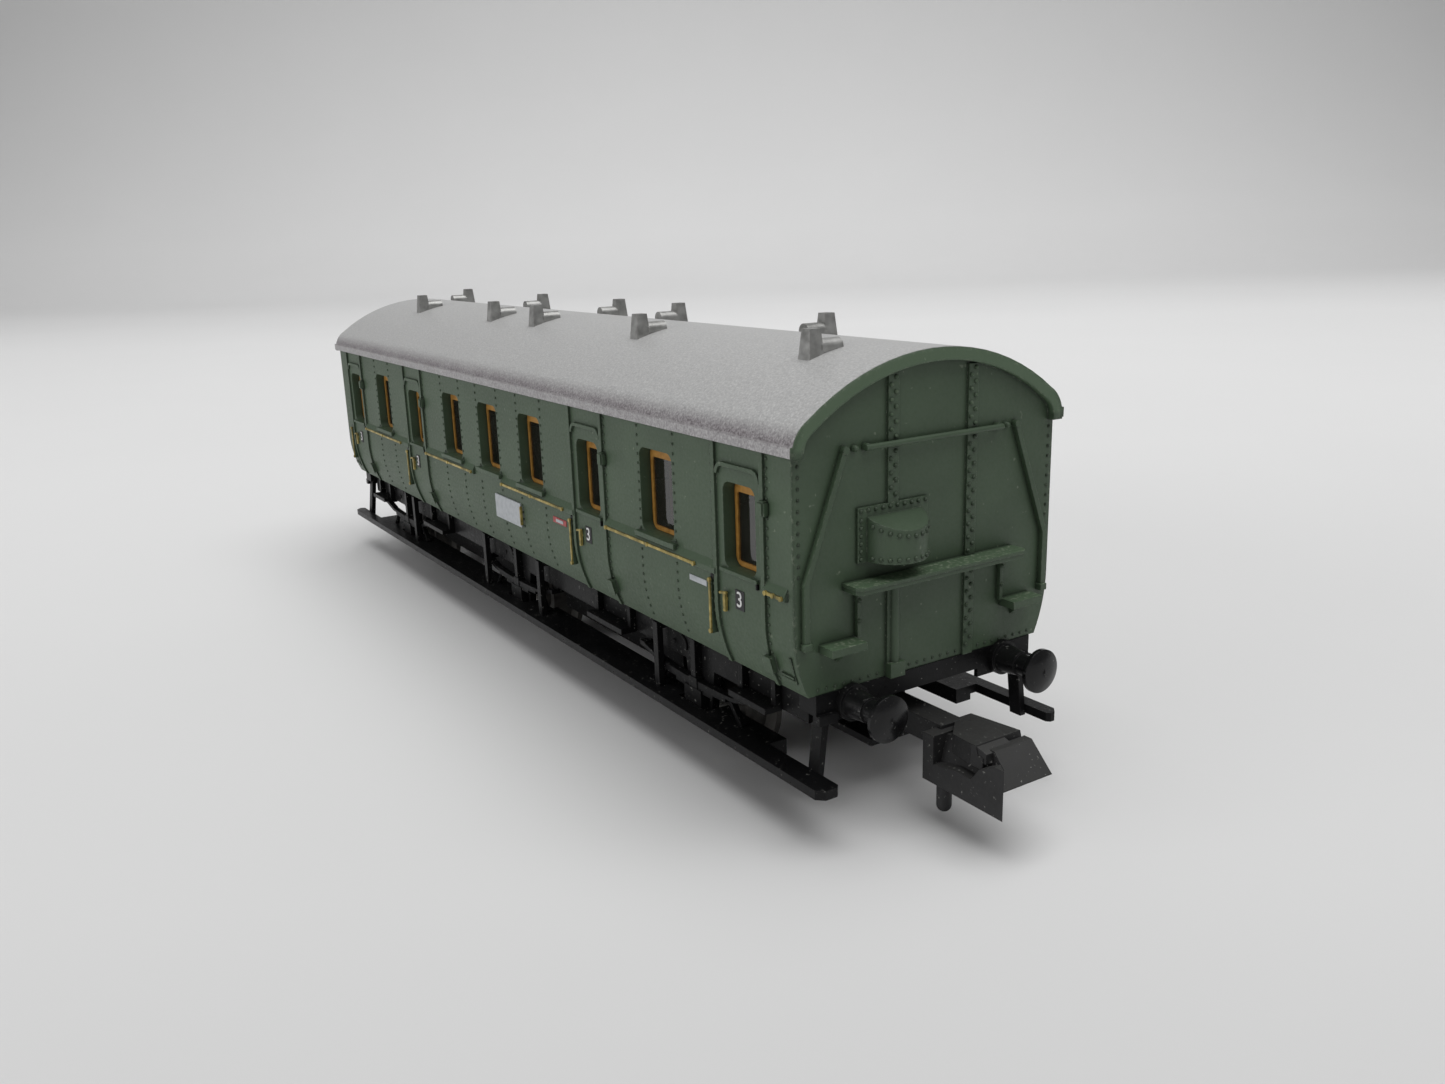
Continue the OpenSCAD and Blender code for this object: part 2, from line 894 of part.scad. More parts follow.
// Floor with slots over the wheels, a solebar along each side and girders between the axles
module underframe() {
    color(black)
        difference() {
            union() {
                block([-frame_x, -solebar_out, floor_z], [frame_x, solebar_out, body_bottom]);
                for (s = [0, 1])
                    mirror([0, s, 0])
                        block([-frame_x, solebar_y, solebar_z], [frame_x, solebar_out, body_bottom]);
                for (sx = [0, 1], sy = [0, 1])
                    mirror([sx, 0, 0])
                        mirror([0, sy, 0])
                            block([girder_x0, girder_y, girder_z],
                                [girder_x1, girder_y + girder_t, floor_z + eps]);
            }
            for (x = axles_x, s = [0, 1])
                mirror([0, s, 0])
                    block([x - wheel_slot_half, wheel_slot_y0, floor_z - 1],
                        [x + wheel_slot_half, wheel_slot_y1, body_bottom + 1]);
        }
}

// The beam under an end wall, with a plate behind each buffer
module headstock() {
    plate_half = 1.8;
    plate_z = 6.65;
    color(black) {
        block([frame_x, -headstock_y, headstock_z], [headstock_x, headstock_y, body_bottom]);
        for (s = [-1, 1])
            block([headstock_x - 0.25, s * buffer_gauge / 2 - plate_half, plate_z],
                [headstock_x, s * buffer_gauge / 2 + plate_half, body_bottom]);
        for (s = [0, 1])
            mirror([0, s, 0])
                block([headstock_x - 0.25, buffer_gauge / 2 + 1.05, headstock_ledge_z0],
                    [headstock_x + headstock_ledge_out, headstock_y, headstock_ledge_z1]);
    }
}

// A fixed buffer on the +Y side of the front: base, barrel, stem and domed head
module buffer() {
    length = over_buffers / 2 - headstock_x;
    head_t = 0.75;
    dome = 0.28;
    dome_r = (buffer_r * buffer_r + dome * dome) / (2 * dome);
    color(black)
        translate([headstock_x, buffer_gauge / 2, buffer_z])
            rotate([0, 90, 0]) {
                cylinder(r = 1, h = 0.35);
                cylinder(r1 = 0.86, r2 = 0.7, h = 1.6);
                cylinder(r = 0.6, h = length - head_t + eps);
                translate([0, 0, length - head_t])
                    cylinder(r1 = 0.75, r2 = buffer_r, h = 0.25);
                intersection() {
                    translate([0, 0, length - head_t + 0.25 - eps])
                        cylinder(r = buffer_r, h = head_t);
                    translate([0, 0, length - dome_r])
                        sphere(r = dome_r);
                }
            }
}

module buffer_on_right() {
    mirror([0, 1, 0])
        buffer();
}

// One leaf of the spring, as an x-z outline
module leaf_outline(half, drop) {
    xs = [for (i = [0 : leaf_steps]) half * (2 * i / leaf_steps - 1)];
    top = [for (x = xs) [x, leaf_z - drop + leaf_at(x)]];
    under = [for (i = [leaf_steps : -1 : 0]) [xs[i], leaf_z - drop - leaf_t + leaf_at(xs[i])]];
    polygon(concat(top, under));
}

// The slanting link at a spring's end, as an x-z outline
module spring_link_outline() {
    foot_x = leaf_half[0] - 0.1;
    foot_z = leaf_z + leaf_at(leaf_half[0]) - leaf_t / 2;
    polygon([
        [foot_x, foot_z - link_w / 2],
        [link_x, link_z - link_w / 2],
        [link_x, link_z + link_w / 2],
        [foot_x, foot_z + link_w / 2]
    ]);
}

// The lug under the solebar that holds a link
module spring_lug() {
    block([link_x - link_w, solebar_y, link_z - link_w / 2],
        [link_x + link_w, solebar_out + leaf_y, link_z + link_w / 2]);
    block([link_x - link_w, solebar_y, link_z], [link_x + link_w, solebar_out, solebar_z]);
}

// Axle guard, axlebox and leaf spring on the +Y side, for an axle at x = 0
module axle_guard() {
    color(black)
        difference() {
            union() {
                plate_y(solebar_y, solebar_out)
                    polygon([
                        [-guard_top_half, solebar_z],
                        [-guard_foot_half, guard_foot_z],
                        [guard_foot_half, guard_foot_z],
                        [guard_top_half, solebar_z]
                    ]);
                block([-axlebox_half, solebar_out - eps, axle_z - 0.9],
                    [axlebox_half, axlebox_y, axle_z + 0.85]);
                block([-buckle_half, solebar_out - eps, buckle_z0],
                    [buckle_half, solebar_out + leaf_y + 0.06, buckle_z1]);
                block([-guard_post_half, solebar_out, guard_post_z0],
                    [guard_post_half, solebar_out + leaf_y, guard_post_z1]);
                plate_y(solebar_out, solebar_out + leaf_y) {
                    for (i = [0 : len(leaf_half) - 1])
                        leaf_outline(leaf_half[i], i * (leaf_t - eps));
                    for (s = [0, 1])
                        mirror([s, 0])
                            spring_link_outline();
                }
                for (s = [0, 1])
                    mirror([s, 0, 0])
                        spring_lug();
            }
            translate([0, 0, axle_z])
                bar_y(solebar_y - 1, bore_end_y, pin_r + pin_gap);
        }
}

module guard_at(i) {
    translate([axles_x[i], 0, 0])
        axle_guard();
}

// A strap that hangs the footboard from the solebar
module hanger_strap(x) {
    foot = footboard_top - eps;
    block([x - strap_w / 2, strap_y - strap_t, foot], [x + strap_w / 2, strap_y, strap_top]);
    block([x - strap_w / 2, solebar_out, strap_top - strap_tab], [x + strap_w / 2, strap_y, strap_top]);
}

// A leaning strap that hangs the board's end from the headstock, with its outer face at y
module end_strap(y) {
    foot_z = footboard_z - end_strap_foot;
    plate_x(end_strap_x - end_strap_w / 2, end_strap_x + end_strap_w / 2)
        polygon([
            [y - strap_t, foot_z],
            [y, foot_z],
            [y - end_strap_lean, headstock_z],
            [y - end_strap_lean - strap_t, headstock_z]
        ]);
}

// The lower board from above, with narrow ends and cut corners
module footboard_plan() {
    x = footboard_len / 2;
    y = footboard_y;
    inner = [y - footboard_end_w[0], y - footboard_end_w[1]];
    c = footboard_corner;
    polygon([
        [-x, y - c],
        [-x + c, y],
        [x - c, y],
        [x, y - c],
        [x, inner[1] + c / 2],
        [x - c / 2, inner[1]],
        [footboard_wide[1], inner[1]],
        [footboard_wide[1], footboard_in],
        [footboard_wide[0], footboard_in],
        [footboard_wide[0], inner[0]],
        [-x + c / 2, inner[0]],
        [-x, inner[0] + c / 2]
    ]);
}

// The long lower board with its straps, notched round the axleboxes and set back beside the centre wheels
module footboard() {
    color(black) {
        difference() {
            union() {
                translate([0, 0, footboard_z])
                    linear_extrude(height = footboard_t)
                        footboard_plan();
                block([footboard_wide[0], footboard_in, ledge_z],
                    [footboard_wide[1], footboard_y - footboard_end_w[1], footboard_z + eps]);
            }
            for (x = axles_x)
                block([x - notch_half, footboard_in - 1, footboard_z - 1],
                    [x + notch_half, notch_y, footboard_z + 1]);
            block([-wheel_recess_half, footboard_in - 1, footboard_z - 1],
                [wheel_recess_half, wheel_recess_y, footboard_z + 1]);
        }
        for (x = strap_x)
            hanger_strap(x);
        for (s = [0, 1])
            mirror([1 - s, 0, 0])
                end_strap(footboard_y - footboard_end_w[s] + 0.1);
    }
}

// A short upper step from x0 to x1, on a post near each end
module door_step(x0, x1) {
    block([x0, solebar_out, door_step_z], [x1, door_step_y, door_step_z + door_step_t]);
    for (x = [x0 + step_post_w / 2, x1 - step_post_w / 2])
        block([x - step_post_w / 2, solebar_out, door_step_z],
            [x + step_post_w / 2, solebar_out + 0.45, strap_top]);
}

// One step under each door of a side
module door_steps() {
    color(black) {
        for (x = [-door_1_x, door_1_x])
            door_step(x + inner_step[0], x + inner_step[1]);
        for (s = [0, 1])
            mirror([s, 0, 0])
                door_step(door_2_x + outer_step[0], door_2_x + outer_step[1]);
    }
}

// Axle along Y, thick up to its shoulders and with thinner end pins
module axle(x, half, shoulder) {
    color(steel)
        translate([x, 0, axle_z]) {
            bar_y(-shoulder, shoulder, axle_r);
            bar_y(-half, half, pin_r);
        }
}

// The centre axle slides in its axleboxes, and its collar and clips keep the wheels in place on it
module sliding_axle() {
    collar = back_to_back / 2 - pin_gap;
    clip = back_to_back / 2 + wheel_w + pin_gap;
    axle(axles_x[1], centre_axle_half, centre_shoulder);
    color(steel)
        translate([axles_x[1], 0, axle_z]) {
            bar_y(-collar, collar, axle_r + 0.25);
            for (s = [0, 1])
                mirror([0, s, 0])
                    bar_y(clip, clip + 0.14, axle_r + 0.15);
        }
}

// A wheel on the +Y side: flange, tread, dished web and hub
module wheel(x, bore_gap) {
    back = back_to_back / 2;
    face = back + wheel_w;
    color(steel)
        translate([x, 0, axle_z])
            rotate([-90, 0, 0])
                rotate_extrude()
                    polygon([
                        [axle_r + bore_gap, back],
                        [flange_r - 0.25, back],
                        [flange_r, back + 0.2],
                        [flange_r - 0.1, back + 0.5],
                        [tread_r + 0.12, back + 0.75],
                        [tread_r, face],
                        [tread_r - 0.55, face],
                        [tread_r - 0.65, face - 0.5],
                        [axle_r + 0.75, face - 0.5],
                        [axle_r + 0.6, face],
                        [axle_r + bore_gap, face]
                    ]);
}

// The box under the floor that a coupler swings in, with a longer bottom plate
module coupler_pocket() {
    color(black)
        difference() {
            union() {
                block([pocket_x0, -pocket_y, pocket_z], [pocket_x1, pocket_y, pocket_z + pocket_t]);
                for (s = [0, 1])
                    mirror([0, s, 0])
                        block([pocket_x0, pocket_y - pocket_t, pocket_z],
                            [pocket_wall_x1, pocket_y, floor_z]);
                block([pocket_x0, -pocket_y, pocket_z], [pocket_x0 + pocket_t, pocket_y, floor_z]);
                block([pocket_x0, -pocket_y, floor_z - pocket_t], [pocket_wall_x1, pocket_y, floor_z]);
            }
            translate([peg_x, 0, pocket_z - 1])
                cylinder(r = peg_r + eps, h = floor_z - pocket_z + 2);
        }
}

// Upright peg through the pocket, with a flat head below
module coupler_peg() {
    color(steel)
        translate([peg_x, 0, 0]) {
            translate([0, 0, pocket_z - 0.35])
                cylinder(r = peg_r + 0.5, h = 0.35);
            translate([0, 0, pocket_z - 0.1])
                cylinder(r = peg_r, h = floor_z - pocket_z + 0.1);
        }
}

// Collar that turns on the peg, with a cross pin for the hook's fork
module coupler_swivel() {
    color(black)
        translate([peg_x, 0, 0])
            difference() {
                union() {
                    translate([0, 0, swivel_z0])
                        cylinder(r = swivel_r, h = swivel_z1 - swivel_z0);
                    translate([0, 0, lift_z])
                        bar_y(-cheek_y1, cheek_y1, trunnion_r);
                }
                translate([0, 0, swivel_z0 - 1])
                    cylinder(r = peg_r + pin_gap, h = swivel_z1 - swivel_z0 + 2);
            }
}

// Sleeve of the size of the coil spring that sits on the collar
module coupler_spring() {
    spring_top = floor_z - pocket_t;
    color(steel)
        translate([peg_x, 0, swivel_z1])
            difference() {
                cylinder(r = swivel_r - 0.1, h = spring_top - swivel_z1);
                translate([0, 0, -1])
                    cylinder(r = peg_r + 0.12, h = spring_top - swivel_z1 + 2);
            }
}

// The head's side plate, as an x-z outline from the back of the head
module hook_side_outline() {
    polygon([
        [0, hook_z0],
        [hook_len, hook_z0 - 0.1],
        [hook_len, 5.25],
        [5.2, 5.25],
        [4.15, 4.7],
        [3.6, 3.94],
        [2.4, 4],
        [0.8, 3.68],
        [0.8, 5.2],
        [0, 5.2]
    ]);
}

// The side plate seen from above, bevelled inside its front edge
module hook_side_plan() {
    polygon([
        [0, -hook_half],
        [hook_len, -hook_half],
        [hook_len - hook_bevel, -hook_half + hook_plate_t],
        [0, -hook_half + hook_plate_t]
    ]);
}

// The head's top plate from above, cut away over the notch in the side plate
module hook_top_plan() {
    polygon([
        [0, hook_half],
        [0, 0.6],
        [1.6, -1.15],
        [3.25, -1.45],
        [4.1, -1.45],
        [4.1, hook_half]
    ]);
}

// The top plate from the side, rising to a groove behind the front plate
module hook_top_outline() {
    polygon([
        [0, hook_top_z0],
        [4.1, hook_top_z0],
        [4.1, hook_groove_z],
        [3.75, hook_groove_z],
        [3.6, hook_top_z2],
        [0, hook_top_z1]
    ]);
}

// The sloping wall between the side plate and the top plate, from the front
module hook_ramp_section() {
    polygon([
        [-1.17, hook_ramp_z0],
        [-0.4, hook_ramp_z0],
        [-0.4, hook_groove_z - eps],
        [-0.75, hook_groove_z - eps],
        [-1.17, 3.75]
    ]);
}

// The filled part of the groove, which joins the top plate to the front plate
module hook_bridge_outline() {
    polygon([
        [3.4, 4.9],
        [4.3, 4.9],
        [4.3, 5.46],
        [4.1, 5.53],
        [3.5, 5.7],
        [3.4, 5.6]
    ]);
}

// The slanting front plate, as an x-z outline from the back of the head
module hook_nose_outline() {
    polygon([[3.9, 5.55], [4.4, 5.55], [hook_len, 4.1], [hook_len - 0.5, 4.1]]);
}

// The front plate as seen from the front, with one upper corner cut away
module hook_nose_front() {
    polygon([
        [-hook_half, 4],
        [hook_half, 4],
        [hook_half, 5.6],
        [-hook_half + 0.82, 5.6],
        [-hook_half + 0.75, 4.8],
        [-hook_half, 4.1]
    ]);
}

// Hook coupler: fork, shank, head with slanting nose, and trip pin
module coupler_hook() {
    fork_x0 = peg_x - 0.6;
    fork_x1 = peg_x + swivel_r + 0.3;
    fork_z0 = shank_z0 + 0.12;
    color(black)
        difference() {
            union() {
                for (s = [0, 1])
                    mirror([0, s, 0])
                        block([fork_x0, cheek_y0, fork_z0], [fork_x1 + 0.5, cheek_y1, shank_z1]);
                block([fork_x1, -cheek_y1, fork_z0], [fork_x1 + 0.5, cheek_y1, shank_z1]);
                block([fork_x1, -shank_y, shank_z0], [hook_x + 0.4, shank_y, shank_z1]);
                translate([hook_x, 0, 0]) {
                    block([0, -hook_half, 3.9], [0.8, hook_half, 5.3]);
                    intersection() {
                        plate_y(-hook_half, hook_half)
                            hook_top_outline();
                        linear_extrude(height = 8)
                            hook_top_plan();
                    }
                    plate_y(hook_bridge_y0, hook_bridge_y1)
                        hook_bridge_outline();
                    plate_x(0.4, hook_ramp_x1)
                        hook_ramp_section();
                    block([0.4, -0.5, hook_ramp_z0], [2, shank_y, hook_top_z0 + eps]);
                    intersection() {
                        plate_y(-hook_half, -hook_half + hook_plate_t)
                            hook_side_outline();
                        linear_extrude(height = 8)
                            hook_side_plan();
                    }
                    intersection() {
                        plate_y(-hook_half, hook_half)
                            hook_nose_outline();
                        plate_x(0, hook_len + 1)
                            hook_nose_front();
                    }
                    translate([trip_x, trip_y, trip_z + trip_r])
                        sphere(r = trip_r);
                    translate([trip_x, trip_y, trip_z + trip_r])
                        cylinder(r = trip_r, h = trip_h);
                }
            }
            translate([peg_x, 0, lift_z])
                bar_y(-3, 3, trunnion_r + pin_gap);
        }
}

body_shell();
roof();
roof_vents_right();
roof_vents_left();
right_side() glazing();  // glazing_right
left_side() glazing();  // glazing_left
right_side() window_frames();  // window_frames_right
left_side() window_frames();  // window_frames_left
right_side() waist_rails();  // waist_rails_right
left_side() waist_rails();  // waist_rails_left
right_side() door_handles();  // door_handles_right
left_side() door_handles();  // door_handles_left
end_board();  // end_board_front
rear() end_board();  // end_board_rear
end_box();  // end_box_front
rear() end_box();  // end_box_rear
end_steps();  // end_steps_front
rear() end_steps();  // end_steps_rear
end_rail();  // end_rail_front
rear() end_rail();  // end_rail_rear
seat_insert();
ballast_weight();
underframe();
headstock();  // headstock_front
rear() headstock();  // headstock_rear
buffer_on_right();  // buffer_front_right
buffer();  // buffer_front_left
rear() buffer();  // buffer_rear_right
rear() buffer_on_right();  // buffer_rear_left
right_side() guard_at(0);  // axle_guard_front_right
guard_at(0);  // axle_guard_front_left
right_side() guard_at(1);  // axle_guard_centre_right
guard_at(1);  // axle_guard_centre_left
right_side() guard_at(2);  // axle_guard_rear_right
guard_at(2);  // axle_guard_rear_left
right_side() footboard();  // footboard_right
left_side() footboard();  // footboard_left
right_side() door_steps();  // door_steps_right
left_side() door_steps();  // door_steps_left
axle(axles_x[0], end_axle_half, end_shoulder);  // axle_front
right_side() wheel(axles_x[0], eps);  // wheel_front_right
wheel(axles_x[0], eps);  // wheel_front_left
sliding_axle();  // axle_centre
right_side() wheel(axles_x[1], pin_gap);  // wheel_centre_right
wheel(axles_x[1], pin_gap);  // wheel_centre_left
axle(axles_x[2], end_axle_half, end_shoulder);  // axle_rear
right_side() wheel(axles_x[2], eps);  // wheel_rear_right
wheel(axles_x[2], eps);  // wheel_rear_left
coupler_pocket();  // coupler_pocket_front
rear() coupler_pocket();  // coupler_pocket_rear
coupler_peg();  // coupler_peg_front
rear() coupler_peg();  // coupler_peg_rear
coupler_swivel();  // coupler_swivel_front
rear() coupler_swivel();  // coupler_swivel_rear
coupler_spring();  // coupler_spring_front
rear() coupler_spring();  // coupler_spring_rear
coupler_hook();  // coupler_hook_front
rear() coupler_hook();  // coupler_hook_rear
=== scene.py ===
import json
import math

import bmesh
import bpy
from mathutils import Matrix, Vector


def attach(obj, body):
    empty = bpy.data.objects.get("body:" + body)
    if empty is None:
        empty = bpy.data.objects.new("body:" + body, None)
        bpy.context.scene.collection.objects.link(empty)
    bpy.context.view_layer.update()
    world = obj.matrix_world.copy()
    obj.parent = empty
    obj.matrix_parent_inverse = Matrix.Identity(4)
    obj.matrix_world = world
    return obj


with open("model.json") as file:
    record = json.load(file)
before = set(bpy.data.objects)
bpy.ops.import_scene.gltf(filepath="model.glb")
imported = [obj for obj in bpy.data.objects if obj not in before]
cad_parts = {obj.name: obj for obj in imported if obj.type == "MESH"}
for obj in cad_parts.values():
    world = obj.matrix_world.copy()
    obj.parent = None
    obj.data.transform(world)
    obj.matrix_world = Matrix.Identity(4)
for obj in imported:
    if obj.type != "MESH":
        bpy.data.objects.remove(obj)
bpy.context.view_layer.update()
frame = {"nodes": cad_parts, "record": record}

MM = 0.001
NODES = frame["nodes"]

# Names of the sides and ends, and how far each is turned about Z from the one that is drawn
SIDES = (("right", 0), ("left", 180))
ENDS = (("front", 0), ("rear", 180))

# Sizes of the coach in millimetres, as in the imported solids
END_X = 39.0
HALF_W = 9.04
BODY_BOTTOM = 8.3
EAVE_Z = 20.9
TUMBLE_TOP = 12.0
TUMBLE_R = 8.57
RELIEF = 0.16
WINDOWS_X = (0.0, 7.75, -7.75, 25.65, -25.65)
DOORS_X = (16.8, -16.8, 34.3, -34.3)
WAIST_Z = 13.75
STRIP_Y = 2.75
BOX_Y = -2.7
BOX_R = 1.8
AXLES_X = (26.7, 0.0, -26.7)
SOLEBAR_Y = 7.15


def side_half(z):
    """Half the body's width at height z."""
    if z >= TUMBLE_TOP:
        return HALF_W
    drop = TUMBLE_TOP - z
    return HALF_W - TUMBLE_R + math.sqrt(TUMBLE_R * TUMBLE_R - drop * drop)


def side_normal(z):
    """Outward direction of the right side at height z."""
    if z >= TUMBLE_TOP:
        return Vector((0, -1, 0))
    rise = (TUMBLE_TOP - z) / TUMBLE_R
    return Vector((0, -math.sqrt(1 - rise * rise), -rise))


def side_point(x, z):
    """Place on the right side's surface."""
    return Vector((x, -side_half(z), z))


# Shader helpers

# Most values of a noise pattern lie between these
NOISE_LOW = 0.3
NOISE_HIGH = 0.7


def new_look(name):
    """A material with its tree, its Principled shader and object coordinates."""
    mat = bpy.data.materials.new(name)
    mat.use_nodes = True
    tree = mat.node_tree
    shader = tree.nodes["Principled BSDF"]
    coords = tree.nodes.new("ShaderNodeTexCoord").outputs["Object"]
    return mat, tree, shader, coords


def noise(tree, coords, scale, detail=3.0, rough=0.55):
    """A noise pattern with scale features per metre."""
    node = tree.nodes.new("ShaderNodeTexNoise")
    node.inputs["Scale"].default_value = scale
    node.inputs["Detail"].default_value = detail
    node.inputs["Roughness"].default_value = rough
    tree.links.new(coords, node.inputs["Vector"])
    return node.outputs["Fac"]


def stretched(tree, coords, factors):
    """Coordinates scaled along each axis, for streaks and tool marks."""
    node = tree.nodes.new("ShaderNodeMapping")
    node.inputs["Scale"].default_value = factors
    tree.links.new(coords, node.inputs["Vector"])
    return node.outputs["Vector"]


def ramp(tree, fac, stops):
    """Colours or grey levels at places along fac."""
    node = tree.nodes.new("ShaderNodeValToRGB")
    elements = node.color_ramp.elements
    while len(elements) < len(stops):
        elements.new(0.5)
    for element, (place, value) in zip(elements, stops):
        element.position = place
        colour = (value,) * 3 if isinstance(value, (int, float)) else value
        element.color = (*colour, 1)
    tree.links.new(fac, node.inputs["Fac"])
    return node.outputs["Color"]


def span(tree, value, low, high, out_low=0.0, out_high=1.0):
    """Value carried from low..high to out_low..out_high."""
    node = tree.nodes.new("ShaderNodeMapRange")
    for key, number in (("From Min", low), ("From Max", high), ("To Min", out_low), ("To Max", out_high)):
        node.inputs[key].default_value = number
    tree.links.new(value, node.inputs["Value"])
    return node.outputs["Result"]


def two_toned(tree, pattern, tones):
    """A noise pattern as two colours that run into each other."""
    return ramp(tree, pattern, ((NOISE_LOW, tones[0]), (NOISE_HIGH, tones[1])))


def varied(tree, pattern, low, high):
    """A noise pattern as a number between low and high."""
    return span(tree, pattern, NOISE_LOW, NOISE_HIGH, low, high)


def sum_up(tree, operation, a, b):
    """One step of arithmetic on two numbers or sockets."""
    node = tree.nodes.new("ShaderNodeMath")
    node.operation = operation
    for socket, value in zip(node.inputs, (a, b)):
        if isinstance(value, (int, float)):
            socket.default_value = value
        else:
            tree.links.new(value, socket)
    return node.outputs["Value"]


def times(tree, a, b):
    """The product of two numbers or sockets."""
    return sum_up(tree, "MULTIPLY", a, b)


def plus(tree, a, b):
    """The sum of two numbers or sockets."""
    return sum_up(tree, "ADD", a, b)


def blended(tree, fac, a, b):
    """Number a where fac is 0, b where it is 1."""
    node = tree.nodes.new("ShaderNodeMix")
    tree.links.new(fac, node.inputs["Factor"])
    tree.links.new(a, node.inputs["A"])
    node.inputs["B"].default_value = b
    return node.outputs["Result"]


def mixed(tree, fac, a, b):
    """Colour a where fac is 0, b where it is 1."""
    node = tree.nodes.new("ShaderNodeMix")
    node.data_type = "RGBA"
    tree.links.new(fac, node.inputs["Factor"])
    for socket, value in ((node.inputs[6], a), (node.inputs[7], b)):
        if isinstance(value, tuple):
            socket.default_value = (*value, 1)
        else:
            tree.links.new(value, socket)
    return node.outputs[2]


def rounded_edges(tree, radius):
    """A normal that rounds sharp edges by radius (millimetres, or a socket in metres), and a mask of them."""
    bevel = tree.nodes.new("ShaderNodeBevel")
    bevel.samples = 4
    if isinstance(radius, (int, float)):
        bevel.inputs["Radius"].default_value = radius * MM
    else:
        tree.links.new(radius, bevel.inputs["Radius"])
    flat = tree.nodes.new("ShaderNodeNewGeometry").outputs["Normal"]
    dot = tree.nodes.new("ShaderNodeVectorMath")
    dot.operation = "DOT_PRODUCT"
    tree.links.new(bevel.outputs["Normal"], dot.inputs[0])
    tree.links.new(flat, dot.inputs[1])
    return bevel.outputs["Normal"], span(tree, dot.outputs["Value"], 0.985, 0.9)


def bump(tree, shader, height, depth, normal=None):
    """Surface relief, depth in millimetres."""
    node = tree.nodes.new("ShaderNodeBump")
    node.inputs["Distance"].default_value = depth * MM
    tree.links.new(height, node.inputs["Height"])
    if normal is not None:
        tree.links.new(normal, node.inputs["Normal"])
    tree.links.new(node.outputs["Normal"], shader.inputs["Normal"])


def places(tree, coords):
    """X, Y and Z in millimetres."""
    split = tree.nodes.new("ShaderNodeSeparateXYZ")
    tree.links.new(coords, split.inputs["Vector"])
    return [times(tree, split.outputs[axis], 1 / MM) for axis in "XYZ"]


def beyond(tree, value, limit, soft):
    """1 where value lies further than limit from zero on either side, faded over soft."""
    return span(tree, times(tree, value, value), limit * limit, (limit + soft) * (limit + soft))


def facing_up(tree):
    """1 on level faces that look up, 0 on upright ones."""
    split = tree.nodes.new("ShaderNodeSeparateXYZ")
    tree.links.new(tree.nodes.new("ShaderNodeNewGeometry").outputs["Normal"], split.inputs["Vector"])
    return span(tree, split.outputs["Z"], 0.4, 0.8)


def creases(tree, reach):
    """1 deep in creases and under ledges, 0 on open faces, looking reach millimetres around."""
    node = tree.nodes.new("ShaderNodeAmbientOcclusion")
    node.samples = 4
    node.inputs["Distance"].default_value = reach * MM
    return span(tree, node.outputs["AO"], 0.9, 0.35)


def toned(factor, colour):
    """A colour made darker or paler by factor."""
    return tuple(factor * c for c in colour)


# Green paint: roughness, edge radii and upper limit of the ledges in millimetres, share of each effect
# (painted shade in creases, painted light on the rim and ledges, wear)
PAINT_ROUGH = (0.42, 0.58)
EDGE_ROUND = 0.07
CORNER_ROUND = 0.4
RIM_ROUND = 0.13
LEDGE_FADE = (16.2, 15.8)
CREASE_SHADE_SHARE = 0.8
RIM_LIGHT_SHARE = 0.85
LEDGE_LIGHT_SHARE = 0.6
EDGE_WEAR = 0.45
LEDGE_WEAR = 0.5
SPECK_WEAR = 0.3


def painted(name, tones, worn):
    """Satin paint on moulded plastic: fine grain, painted shade in creases, painted light on the end's rim
    and up-facing ledges, specks of wear on edges and ledges.
    """
    mat, tree, shader, coords = new_look(name)
    x, y, z = places(tree, coords)
    colour = two_toned(tree, noise(tree, coords, 260, 4), tones)
    grain = noise(tree, coords, 5200, 2)
    corner = times(tree, beyond(tree, x, END_X - 0.6, 0.1), beyond(tree, y, HALF_W - 0.42, 0.05))
    outside = beyond(tree, x, END_X + 0.2, 0.02)
    rim = times(tree, outside, span(tree, z, EAVE_Z + 0.2, EAVE_Z + 0.4))
    radius = span(tree, corner, 0, 1, EDGE_ROUND * MM, CORNER_ROUND * MM)
    radius = plus(tree, radius, times(tree, rim, RIM_ROUND * MM))
    normal, edges = rounded_edges(tree, radius)
    ledge = times(tree, times(tree, outside, facing_up(tree)), span(tree, z, *LEDGE_FADE))
    flecks = span(tree, noise(tree, coords, 4200, 2), 0.54, 0.64)
    specks = span(tree, noise(tree, coords, 2700, 1), 0.74, 0.8, 0, SPECK_WEAR)
    dark, pale = toned(0.2, tones[0]), toned(1.5, tones[1])
    # Painted shade in creases and under ledges.
    colour = mixed(tree, times(tree, creases(tree, 0.3), CREASE_SHADE_SHARE), colour, dark)
    # Painted light on the end's rim and on its up-facing ledges.
    colour = mixed(tree, times(tree, rim, RIM_LIGHT_SHARE), colour, pale)
    colour = mixed(tree, times(tree, ledge, LEDGE_LIGHT_SHARE), colour, pale)
    colour = mixed(tree, times(tree, times(tree, edges, flecks), EDGE_WEAR), colour, worn)
    colour = mixed(tree, times(tree, times(tree, ledge, flecks), LEDGE_WEAR), colour, worn)
    colour = mixed(tree, specks, colour, worn)
    tree.links.new(colour, shader.inputs["Base Color"])
    tree.links.new(varied(tree, grain, *PAINT_ROUGH), shader.inputs["Roughness"])
    bump(tree, shader, grain, 0.006, normal)
    return mat


# Silver paint: where the purple-grey band of painted shade over the eaves fades in, and where it is weaker on
# the lip
BAND_FADE = (22.35, 21.65)
LIP_FADE = (21.4, 21.5)
LIP_SHARE = 0.65
SILVER_TONES = ((0.3, (0.37, 0.37, 0.37)), (0.5, (0.47, 0.47, 0.467)), (0.7, (0.6, 0.6, 0.59)))
EAVE_SHADE_TONES = ((0.34, (0.13, 0.11, 0.12)), (0.5, (0.26, 0.24, 0.25)), (0.66, (0.4, 0.38, 0.39)))
SILVER_ROUGH = (0.36, 0.52)


